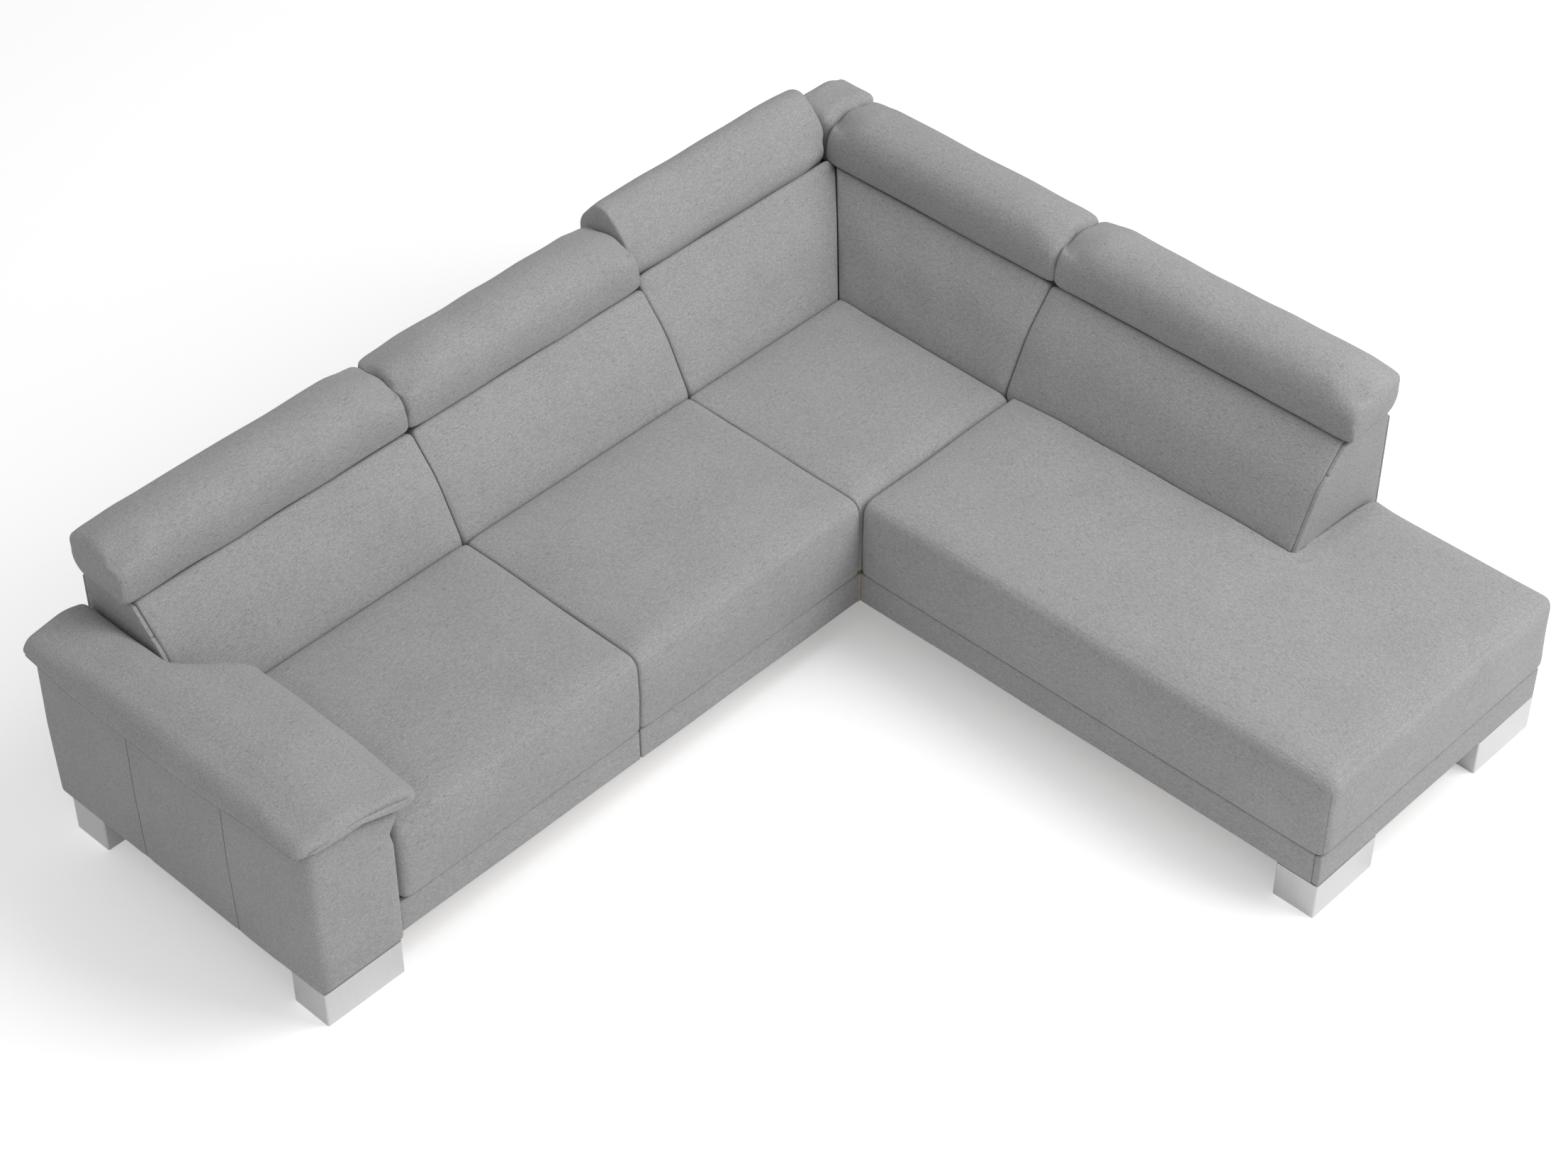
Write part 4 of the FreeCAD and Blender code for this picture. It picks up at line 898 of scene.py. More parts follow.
@dataclass
class Seats:
    """The four seat cushions."""

    room: Workroom
    base: float = 0.204
    rear: float = -0.3145
    top_rear: float = 0.458
    top_front: float = 0.4475
    edge: float = 0.036
    crown: float = 0.010
    main_depth: float = 0.929
    side_depth: float = 0.895
    split: float = 1.680
    left: float = 2.460
    ottoman_end: float = 2.394
    open_rear: float = 0.024
    notch: float = 1.8418
    spacing: float = 0.014
    at_arm: End = End(0.026, 0.003, 0.05)
    at_split: End = End(0.009, 0.0035, 0.05)
    at_corner: End = End(0.007, 0.002, 0.04)
    at_back: End = End(0.006, steps=4)
    at_open: End = End(0.026, 0.004, 0.07, 0.004)
    made: dict[str, SoftPiece] = field(default_factory=dict)

    def _outline(self, front: float, rear: float, count: int, open_rear: bool) -> Outline:
        """Return a seat cushion's section as an outline.

        Args:
            front: the front face's place.
            rear: the rear face's place.
            count: points round it.
            open_rear: whether the rear is rounded like the front.

        Returns:
            The outline.
        """
        rear_top = self.top_front if open_rear else self.top_rear
        corners = [
            (rear, self.base, 0.006), (front + 0.003, self.base, 0.010), (front - 0.002, 0.330, 0.4),
            (front + 0.004, self.top_front, self.edge),
            (rear, rear_top, self.edge if open_rear else 0.010),
        ]
        return lambda u, inset: rounded(corners, inset, count)

    def _shape(self, shell: Shell, front: float, rear: float, low: float, high: float, seed: int) -> np.ndarray:
        """Crown a seat and find where it is held.

        Args:
            shell: the plain skin, which is changed.
            front: the front face's place.
            rear: the rear face's place.
            low: the cushion's start.
            high: the cushion's end.
            seed: its own unevenness.

        Returns:
            The hold on each point, 0 to 1.
        """
        points, normals = shell.points, shell.normals()
        u, v, z = points.T
        across = np.clip(np.minimum(v - front, rear - v) / 0.22, 0.0, 1.0)
        along = np.clip(np.minimum(u - low, high - u) / 0.20, 0.0, 1.0)
        dome = np.sin(across * math.pi / 2) * np.sin(along * math.pi / 2)
        top = smooth_step(normals[:, 2], 0.3, 0.9)
        points[:, 2] += top * self.crown * dome
        outer = smooth_step(z, 0.24, 0.33) * smooth_step(rear - v, 0.0, 0.05)
        points += normals * (outer * ripple(points, seed, 0.26) * 0.0015)[:, None]
        shell.points = points
        held = 1 - smooth_step(z, 0.215, 0.26) * smooth_step(rear - v, 0.004, 0.03)
        seam = np.exp(-(((v - front - 0.012) / 0.012) ** 2)) * smooth_step(z, 0.40, 0.43)
        side = np.exp(-((np.minimum(u - low, high - u) / 0.012) ** 2))
        return np.clip(held + 0.5 * seam + 0.8 * side, 0.0, 1.0)

    def build(self) -> None:
        """Shape the four cushions."""
        gap = 0.0008
        arm, split, corner, back = self.at_arm, self.at_split, self.at_corner, self.at_back
        plain = [
            ("seat_one", -self.left, -self.split - gap, 0.0, (arm, split), "seat_cushion_1"),
            ("seat_two", -self.split + gap, -self.side_depth - gap, 0.0, (split, corner), "seat_cushion_2"),
            ("seat_corner", -self.side_depth + gap, self.rear, 0.003, (corner, back), "corner_seat_cushion"),
        ]
        for seed, (name, low, high, shy, ends, node) in enumerate(plain, start=1):
            depth = self.main_depth - shy
            shell = Shell.loft(self._outline(-depth, self.rear, 132, False), low, high, self.spacing, ends)
            held = self._shape(shell, -depth, self.rear, low, high, seed)
            piece = SoftPiece(name, shell, Wing.MAIN, (node,), "sofa", 0.85, 0.005, held)
            self.made[name] = self.room.stuffed(piece)
        self._ottoman()

    def _ottoman(self) -> None:
        """Shape the long cushion that runs on past the back."""
        low, high = self.main_depth + 0.0008, self.ottoman_end
        front, rear = -self.side_depth, self.open_rear
        outline, ends = self._outline(front, rear, 180, True), (self.at_corner, self.at_open)
        shell = Shell.loft(outline, low, high, self.spacing, ends)
        held = self._shape(shell, front, rear, low, high, 5)
        points = shell.points
        behind = (points[:, 0] < self.notch) & (points[:, 1] > self.rear)
        lift = smooth_step(points[:, 1], front + 0.12, self.rear) * (points[:, 2] > 0.40)
        points[:, 2] += 0.005 * lift * smooth_step(self.notch + 0.1 - points[:, 0], 0.0, 0.3)
        points[behind, 1] = self.rear + (points[behind, 1] - self.rear) * 0.0005
        shell.points = points
        first = int(np.argmax(shell.rings[:, :, 0].min(axis=1) >= self.notch))
        shell.rings[first, :, 0], shell.rings[first - 1, :, 0] = self.notch + 0.0002, self.notch - 0.0004
        points = shell.points
        held[points[:, 1] > self.rear - 0.02] = 1.0
        free = (points[:, 0] > self.notch + 0.03) & (points[:, 2] > 0.27) & (points[:, 1] > self.rear - 0.02)
        held[free] = 0.0

        def pucker(spots: np.ndarray) -> np.ndarray:
            """Fine puckers across the ottoman's top, in front of the back's end.

            Args:
                spots: places in the row frame.

            Returns:
                How strong the puckers are at each place.
            """
            x = spots[:, 0] - self.room.axis[0]
            y = self.room.axis[1] - spots[:, 1]
            line = np.exp(-(((y - 1.80 - 0.10 * (x + 0.4)) / 0.025) ** 2)) * smooth_step(-x, 0.30, 0.45)
            line = line * (1 - smooth_step(-x, 0.70, 0.80))
            end = np.exp(-(((y - 2.26) / 0.03) ** 2)) * smooth_step(-x, 0.15, 0.3)
            end = end * (1 - smooth_step(-x, 0.6, 0.7))
            return (0.25 * line + 0.2 * end) * (spots[:, 2] > 0.42)

        self.made["seat_ottoman"] = self.room.stuffed(SoftPiece(
            "seat_ottoman", shell, Wing.SIDE, ("ottoman_seat_cushion",), "sofa", 0.85, 0.005, held,
            pucker=pucker,
        ))

    def sew(self, seams: SeamWork) -> None:
        """Sew the double rows along the front edges, and the ottoman's end.

        Args:
            seams: the seam work.
        """
        spans = {
            "seat_one": (-self.left, -self.split, -self.main_depth),
            "seat_two": (-self.split, -self.side_depth, -self.main_depth),
            "seat_ottoman": (self.main_depth, self.ottoman_end, -self.side_depth),
        }
        for name, (low, high, front) in spans.items():
            u = np.arange(low + 0.012, high - 0.012, 0.012)
            for v, z in ((front + 0.001, 0.424), (front + 0.020, 0.446)):
                seams.line("stitch", self.made[name], path_of(u, v, z), 0.0001)
        end = self.made["seat_ottoman"]
        v = np.arange(-self.side_depth + 0.03, self.open_rear - 0.03, 0.012)
        seams.line("stitch", end, path_of(self.ottoman_end - 0.016, v, 0.446), 0.0001)
        z = np.arange(0.215, 0.425, 0.01)
        for v_edge in (-self.side_depth + 0.004, self.open_rear - 0.004):
            seams.line("welt", end, path_of(self.ottoman_end - 0.004, v_edge, z), -0.0004)


# Backs


@dataclass
class Backs:
    """The five back cushions."""

    room: Workroom
    foot: float = 0.3135
    heel: float = 0.0457
    bottom: float = 0.301
    rim: tuple[float, float] = (-0.1480, 0.7155)
    shelf: tuple[float, float] = (-0.1340, 0.7075)
    raised_rim: tuple[float, float] = (-0.128, 0.742)
    folded_top: float = 0.7065
    main_left: float = 2.5374
    split: float = 1.680
    main_split: float = 0.880
    side_split: float = 0.900
    side_end: float = 1.8286
    spacing: float = 0.014
    at_split: End = End(0.010, 0.005, 0.05)
    at_board: End = End(0.007, 0.001, 0.03)
    at_corner: End = End(0.006, steps=4)
    made: dict[int, SoftPiece] = field(default_factory=dict)

    def _outline(self, u: float, inset: float) -> np.ndarray:
        """Draw the back's section: upright foot, leaning belly and a top that slopes to the rear.

        Args:
            u: the station, which changes nothing.
            inset: how far the section is drawn in.

        Returns:
            The section's points.
        """
        corners = [
            (-self.heel, self.bottom, 0.004), (-self.foot, self.bottom, 0.008), (-self.foot, 0.458, 0.10),
            (-0.236, 0.612, 0.30), (*self.rim, 0.007), (*self.shelf, 0.005), (-self.heel, 0.653, 0.006),
        ]
        return rounded(corners, inset, 96)

    def _filled(self, u: float, inset: float) -> np.ndarray:
        """Draw the section of the back under the raised headrest: its top swells up to the headrest.

        Args:
            u: the station, which changes nothing.
            inset: how far the section is drawn in.

        Returns:
            The section's points.
        """
        corners = [
            (-self.heel, self.bottom, 0.004), (-self.foot, self.bottom, 0.008), (-self.foot, 0.458, 0.10),
            (-0.236, 0.612, 0.30), (self.rim[0] + 0.0055, self.rim[1] - 0.0057, 0.06),
            (*self.raised_rim, 0.008), (-self.heel, 0.655, 0.006),
        ]
        return rounded(corners, inset, 96)

    def build(self) -> None:
        """Shape the five cushions."""
        half = 0.0012
        split, board, corner = self.at_split, self.at_board, self.at_corner
        spans = {
            1: (Wing.MAIN, -self.main_left, -self.split - half, (board, split)),
            2: (Wing.MAIN, -self.split + half, -self.main_split - half, (split, split)),
            3: (Wing.MAIN, -self.main_split + half, 0.0, (split, corner)),
            4: (Wing.SIDE, 0.0, self.side_split - half, (corner, split)),
            5: (Wing.SIDE, self.side_split + half, self.side_end, (split, board)),
        }
        for number, (wing, low, high, ends) in spans.items():
            shell = Shell.loft(self._filled if number == 3 else self._outline, low, high, self.spacing, ends)
            points, normals = shell.points, shell.normals()
            u, z = points[:, 0], points[:, 2]
            face = smooth_step(-normals[:, 1], 0.25, 0.7) * smooth_step(z, 0.44, 0.5)
            swell = np.sin(np.clip(np.minimum(u - low, high - u) / 0.16, 0, 1) * math.pi / 2)
            depth = face * (0.003 * (swell - 1) + 0.0016 * ripple(points, 20 + number, 0.24))
            points += normals * depth[:, None]
            if number == 3:
                share = (points[:, 0] - low) / (high - low)
                points[:, 0] = low + share * (points[:, 1] - 0.002 - low)
                lowered = smooth_step(points[:, 0], -0.158, -0.128) * smooth_step(points[:, 2], 0.68, 0.73)
                points[:, 2] -= 0.030 * lowered
            if number == 4:
                share = (high - points[:, 0]) / (high - low)
                points[:, 0] = high - share * (high + points[:, 1] - 0.002)
                points[:, 0] = np.maximum(points[:, 0], -points[:, 1] + 0.002)
            shell.points = points
            held = 1 - smooth_step(z, 0.44, 0.50) * smooth_step(-normals[:, 1], -0.1, 0.4)
            held += 0.9 * np.exp(-((np.minimum(u - low, high - u) / 0.012) ** 2))
            pucker = self._pucker if number == 4 else None
            self.made[number] = self.room.stuffed(SoftPiece(
                f"back_{number}", shell, wing, (f"back_cushion_{number}",), "sofa", 0.8, 0.004,
                np.clip(held, 0.0, 1.0), pucker=pucker,
            ))

    def _pucker(self, spots: np.ndarray) -> np.ndarray:
        """Upright puckers low on the fourth back, where a sitter has leaned.

        Args:
            spots: places in the row frame.

        Returns:
            How strong the puckers are at each place.
        """
        y = self.room.axis[1] - spots[:, 1]
        low = smooth_step(spots[:, 2], 0.44, 0.50) * (1 - smooth_step(spots[:, 2], 0.58, 0.68))
        return 0.22 * np.exp(-(((y - 0.62) / 0.07) ** 2)) * low

    def fold(self) -> None:
        """Give the third back's cushion its own copy of its mesh."""
        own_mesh(self.made[3].item)


# Headrests


@dataclass(frozen=True)
class HeadrestForm:
    """One headrest: its ends, how full its top is, and how its top falls towards each end."""

    wing: Wing
    low: float
    high: float
    falls: tuple[tuple[float, float], tuple[float, float]]
    shoulders: tuple[float, float]
    crown: tuple[float, float] = (-0.018, 0.0575)
    crest: tuple[float, float] = (0.0785, 0.030)
    front: tuple[Corner, ...] = (
        (-0.1290, -0.058, 0.3), (-0.1235, -0.006, 0.3), (-0.1060, 0.034, 0.3), (-0.0660, 0.053, 0.3),
    )
    flare: float = 0.0

    def outline(self, u: float, inset: float) -> np.ndarray:
        """Draw the section about the hinge, folded; at the ends the lip is drawn in less than the rest.

        Args:
            u: the station, which changes nothing.
            inset: how far the section is drawn in.

        Returns:
            The section's points.
        """
        corners = [
            (0.0795, -0.1025, 0.066), (-0.1275, -0.1020, 0.020), *self.front,
            (*self.crown, 0.3), (*self.crest, 0.050),
        ]
        drawn, full = rounded(corners, inset, 92), rounded(corners, inset * 0.4, 92)
        lip = smooth_step(-drawn[:, 0], 0.055, 0.11) * (1 - smooth_step(drawn[:, 1], -0.06, 0.02))
        return drawn + (full - drawn) * lip[:, None]

    def shaped(self, points: np.ndarray) -> None:
        """Let the top fall, round the shoulders and flare the rear of the high end.

        Args:
            points: the plain skin's points about the hinge, which are changed.
        """
        top, rear = smooth_step(points[:, 2], 0.0, 0.04), smooth_step(points[:, 1], -0.095, -0.06)
        front = smooth_step(points[:, 2], -0.03, 0.04) * smooth_step(-points[:, 1], 0.03, 0.10)
        gaps = (points[:, 0] - self.low, self.high - points[:, 0])
        for gap, (fall, reach), shoulder in zip(gaps, self.falls, self.shoulders):
            push = shoulder * front * (1 - smooth_step(gap, 0.0, 0.10))
            points[:, 2] -= top * fall * (1 - smooth_step(gap, 0.0, reach)) + push
            points[:, 1] += 0.8 * push
        points[:, 0] += self.flare * rear * (1 - smooth_step(gaps[1], 0.0, 0.06))


@dataclass
class Headrests:
    """The five headrests that tilt on top of the backs."""

    room: Workroom
    hinge: tuple[float, float] = (-0.020, 0.810)
    lift: float = 46.0
    spacing: float = 0.012
    end: End = End(0.018, 0.009, 0.05, 0.003)
    raised_ends: tuple[End, End] = (End(0.006, 0.003, 0.05, 0.004), End(0.012, 0.003, 0.05, 0.002))
    raised: int = 3
    piped: tuple[int, ...] = (1, 3)
    forms: dict[int, HeadrestForm] = field(default_factory=lambda: {
        1: HeadrestForm(Wing.MAIN, -2.5700, -1.6840, ((0.016, 0.15), (0.024, 0.12)), (0.012, 0.010)),
        2: HeadrestForm(Wing.MAIN, -1.6830, -0.8840, ((0.020, 0.14), (0.024, 0.12)), (0.010, 0.010)),
        3: HeadrestForm(
            Wing.MAIN, -0.8830, -0.1505, ((0.0, 0.06), (-0.008, 0.15)), (0.006, 0.012),
            (-0.010, 0.062), (0.097, 0.053), ((-0.1290, -0.020, 0.3), (-0.1215, 0.040, 0.070)), 0.0115,
        ),
        4: HeadrestForm(
            Wing.SIDE, 0.1010, 0.9040, ((0.020, 0.12), (0.004, 0.08)), (0.012, 0.010),
            (-0.018, 0.0555), (0.0765, 0.022),
        ),
        5: HeadrestForm(Wing.SIDE, 0.9050, 1.8565, ((0.022, 0.12), (0.016, 0.10)), (0.010, 0.012)),
    })
    made: dict[int, SoftPiece] = field(default_factory=dict)

    def build(self) -> None:
        """Shape the five headrests."""
        for number, form in self.forms.items():
            ends = self.raised_ends if number == self.raised else (self.end, self.end)
            shell = Shell.loft(form.outline, form.low, form.high, self.spacing, ends)
            points, normals = shell.points, shell.normals()
            near = np.minimum(points[:, 0] - form.low, form.high - points[:, 0])
            form.shaped(points)
            uneven = smooth_step(near, 0.0, 0.03) * ripple(points, 40 + number, 0.20) * 0.0015
            points += normals * uneven[:, None]
            held = np.clip(1 - smooth_step(points[:, 2], -0.098, -0.06), 0.0, 1.0)
            seam = np.exp(-(((near - ends[0].radius) / 0.006) ** 2))
            turn = math.radians(self.lift if number == self.raised else 0.0)
            v, z = points[:, 1].copy(), points[:, 2].copy()
            points[:, 1] = self.hinge[0] + v * math.cos(turn) - z * math.sin(turn)
            points[:, 2] = self.hinge[1] + v * math.sin(turn) + z * math.cos(turn)
            shell.points = points
            self.made[number] = self.room.stuffed(SoftPiece(
                f"headrest_{number}_cover", shell, form.wing, (f"headrest_cushion_{number}",),
                f"headrest_{number}", 0.85, 0.003, np.clip(held + 0.7 * seam, 0.0, 1.0),
            ))

    def sew(self, seams: SeamWork) -> None:
        """Sew the left end panels that show, and the lower front edge of every headrest.

        Args:
            seams: the seam work.
        """
        for number, piece in self.made.items():
            rings = piece.shell.rings
            count = rings.shape[0]
            if number in self.piped:
                seams.line("stitch", piece, rings[13], 0.0001, closed=True)
            local = piece.shell.rings[count // 2]
            lowest = int(np.argmin(local[:, 1] * 0.8 + local[:, 2]))
            seams.line("stitch", piece, rings[12:count - 12, (lowest + 2) % rings.shape[1]], 0.0001)


# Armrest and corner


@dataclass
class Armrest:
    """The armrest: covered body and soft pad."""

    room: Workroom
    left: float = -2.726
    right: float = -2.475
    front: float = -0.945
    rear: float = 0.035
    step: float = -0.324
    narrow: float = -2.5504
    top: float = 0.566
    lip_top: float = 0.512
    shoulder: float = 0.126
    base: float = 0.1030
    pad_top: float = 0.640
    pad_front: float = -0.959
    pad_outer: float = -2.757
    pad_narrow: float = -2.5535
    pad_wide: float = -2.395
    pad_widens: tuple[float, float] = (0.262, 0.410)
    spacing: float = 0.013
    feet: tuple[tuple[float, float], ...] = ((-0.945, -0.80), (-0.13, 0.04))
    upright_seams: tuple[float, float] = (-0.30, -0.64)
    made: dict[str, SoftPiece] = field(default_factory=dict)

    def build(self) -> None:
        """Shape the body and the pad."""
        self._body()
        self._pad()

    def _turned(self, shell: Shell) -> np.ndarray:
        """Return a shell's points from along-the-arm order to u, v and z."""
        points = shell.points
        return np.column_stack([points[:, 1], points[:, 0], points[:, 2]])

    def _body(self) -> None:
        """Shape the covered body, narrow beside the back."""
        corners = [
            (self.left + 0.003, self.base, 0.004), (self.left - 0.002, 0.340, 0.5),
            (self.left + 0.002, self.top - 0.001, 0.02), (self.left + self.shoulder, self.top - 0.001, 0.06),
            (self.right + 0.032, self.lip_top + 0.001, 0.014), (self.right, 0.462, 0.03),
            (self.right - 0.001, self.base, 0.004),
        ]
        shell = Shell.loft(
            lambda along, inset: rounded(corners, inset, 132), self.front, self.rear, self.spacing,
            (End(0.026, 0.002, 0.05, 0.004), End(0.012)),
        )
        points = self._turned(shell)
        u, v, z = points.T
        tuck = sum(np.exp(-(((v - seam) / 0.010) ** 2)) for seam in self.upright_seams)
        outer = smooth_step(self.left + 0.03 - u, 0.0, 0.02) * smooth_step(self.top - z, 0.01, 0.05)
        bay = np.abs(np.sin(math.pi * (v + 0.30) / 0.34))
        points[:, 0] += outer * (0.0022 * tuck - 0.0026 * bay * smooth_step(z, 0.11, 0.2))
        hem = (1 - smooth_step(z, 0.107, 0.14)) * np.clip(0.6 + ripple(points, 61, 0.3), 0.0, 1.0)
        for low, high in self.feet:
            hem *= 1 - smooth_step(v, low - 0.03, low) * (1 - smooth_step(v, high, high + 0.03))
        points[:, 2] -= 0.003 * hem
        beyond = (v > self.step) & (u > self.narrow)
        points[beyond, 0] = self.narrow + (points[beyond, 0] - self.narrow) * 0.0005
        cheek = smooth_step(-v, 0.915, 0.940) * smooth_step(u, -2.52, -2.478)
        points[:, 0] += 0.010 * cheek * (1 - smooth_step(z, 0.42, 0.46))
        shell.points = points
        held = np.ones(len(points))
        held[outer > 0.3] = 0.35
        held[(v < self.front + 0.03) & (z > 0.15)] = 0.4
        self.made["arm_body"] = self.room.stuffed(SoftPiece(
            "arm_body", shell, Wing.MAIN, ("arm_cover",), "sofa", 0.9, 0.003, held,
        ))

    @staticmethod
    def _edge_rise(along: np.ndarray | float) -> np.ndarray:
        """Return how much the pad's outer edge rises towards its two ends."""
        return 0.024 * (smooth_step(-along, 0.56, 0.84) + smooth_step(along, -0.17, 0.02))

    def _pad(self) -> None:
        """Shape the pad: upright beside the back, then its lip swells over the seat and droops in front."""
        shoulder = self.left + self.shoulder
        slope = (self.top - self.lip_top) / (self.right + 0.0255 - shoulder)

        def outline(along: float, inset: float) -> np.ndarray:
            """Draw the pad's section.

            Args:
                along: the station along the arm.
                inset: how far the section is drawn in.

            Returns:
                The section's points.
            """
            share = float(smooth_step(-along, *self.pad_widens))
            droop = float(smooth_step(-along, 0.70, 0.93))
            tip = min(1.0, max(0.0, (-along - 0.72) / 0.30)) ** 1.6
            inner = self.pad_narrow + (self.pad_wide - self.pad_narrow) * share + 0.006 * tip * share
            under = self.top + 0.001
            edge = under - 0.012 + float(self._edge_rise(along))
            low = under - slope * max(0.0, inner - 0.012 - shoulder) + 0.036 * share * (1 - 0.5 * droop)
            high = self.pad_top - 0.012 - 0.010 * share - 0.040 * droop * share
            corners = [
                (self.pad_outer + 0.008, edge, 0.005), (self.left + 0.006, under, 0.02),
                (shoulder, under, 0.08), (inner - 0.016, low, 0.010),
                (inner + 0.001, (low + high) / 2 - 0.003, 0.03),
                (inner - 0.012 - 0.030 * share, high, 0.03 + 0.03 * share),
                (self.left + 0.10, self.pad_top + 0.003, 0.20),
                (self.pad_outer + 0.020, under + 0.055, 0.06),
                (self.pad_outer - 0.001, edge + 0.014, 0.014),
            ]
            return rounded(corners, inset, 116)

        shell = Shell.loft(
            outline, self.pad_front, self.rear, 0.011,
            (End(0.034, 0.004, 0.09, 0.004, 10), End(0.016, 0.003, 0.05, 0.002)),
        )
        points = self._turned(shell)
        ahead = 1 - smooth_step(points[:, 1], self.pad_front, self.pad_front + 0.15)
        points[:, 2] -= 0.010 * ahead * smooth_step(points[:, 2], 0.58, 0.62)
        shell.points = points
        skin = smooth_step(shell.normals()[:, 2], -0.2, 0.3)
        points = shell.points + shell.normals() * (skin * ripple(points, 66, 0.22) * 0.0016)[:, None]
        shell.points = points
        held = np.clip(1 - smooth_step(shell.normals()[:, 2], -0.5, 0.2), 0.0, 1.0)
        held[shell.points[:, 1] > self.rear - 0.03] = 1.0
        ahead = 1 - smooth_step(shell.points[:, 1], self.pad_front + 0.10, self.pad_front + 0.18)
        held = np.maximum(held, 0.85 * ahead)

        def pucker(spots: np.ndarray) -> np.ndarray:
            """Wrinkles gathered into the pad's front edge and its inner tip.

            Args:
                spots: places in the row frame.

            Returns:
                How strong the wrinkles are at each place.
            """
            along = spots[:, 1] - self.room.axis[1]
            across = spots[:, 0] - self.room.axis[0]
            edge = 1 - smooth_step(along, self.pad_front + 0.01, self.pad_front + 0.08)
            return 0.3 * edge * smooth_step(across, -2.56, -2.45)

        self.made["arm_pad"] = self.room.stuffed(SoftPiece(
            "arm_pad_cover", shell, Wing.MAIN, ("arm_pad",), "sofa", 0.75, 0.004, held, pucker=pucker,
        ))

    def sew(self, seams: SeamWork) -> None:
        """Sew the outer panel's upright seams and the piping of the pad's lower edge.

        Args:
            seams: the seam work.
        """
        z = np.arange(0.112, 0.56, 0.012)
        for v in self.upright_seams:
            seams.line("welt", self.made["arm_body"], path_of(self.left, v, z), 0.0002)
        v = np.arange(self.pad_front + 0.03, self.rear - 0.012, 0.012)
        path = path_of(self.pad_outer + 0.003, v, self.top + (self._edge_rise(v) - 0.007))
        seams.line("piping", self.made["arm_pad"], path, 0.0004)


@dataclass
class CornerBlock:
    """The padded block between the two wings' headrests."""

    room: Workroom
    left: float = -0.1355
    rear: float = 0.0425
    swell: float = 0.025
    front: float = -0.0965
    low: float = 0.6915
    high: float = 0.843

    def build(self) -> None:
        """Shape the block."""
        corners = [
            (self.rear, self.low, 0.008), (self.front, self.low, 0.008),
            (self.front - 0.001, self.high, 0.022), (self.rear + 0.003, self.high, 0.030),
        ]
        ends = (End(0.024, 0.002, 0.05, 0.002), End(0.013, 0.002, 0.05, 0.002))
        bulge = self.rear + self.swell
        shell = Shell.loft(lambda u, inset: rounded(corners, inset, 80), self.left, bulge, 0.011, ends)
        points = shell.points
        lower = 1 - smooth_step(points[:, 2], 0.70, 0.76)
        points[:, 0] -= self.swell * smooth_step(points[:, 0], 0.0, self.rear) * lower
        top = smooth_step(points[:, 2], 0.78, 0.825)
        dome = np.sin(np.clip((points[:, 0] - self.left) / (self.rear - self.left), 0, 1) * math.pi)
        points[:, 2] += top * (0.005 * dome - 0.002 - 0.015 * smooth_step(points[:, 0], 0.0, bulge))
        shell.points = points
        held = 1 - smooth_step(points[:, 2], 0.70, 0.73)
        self.room.stuffed(SoftPiece(
            "corner_block_cover", shell, Wing.MAIN, ("corner_block",), "sofa", 0.85, 0.003, held,
        ))


# Covered boards


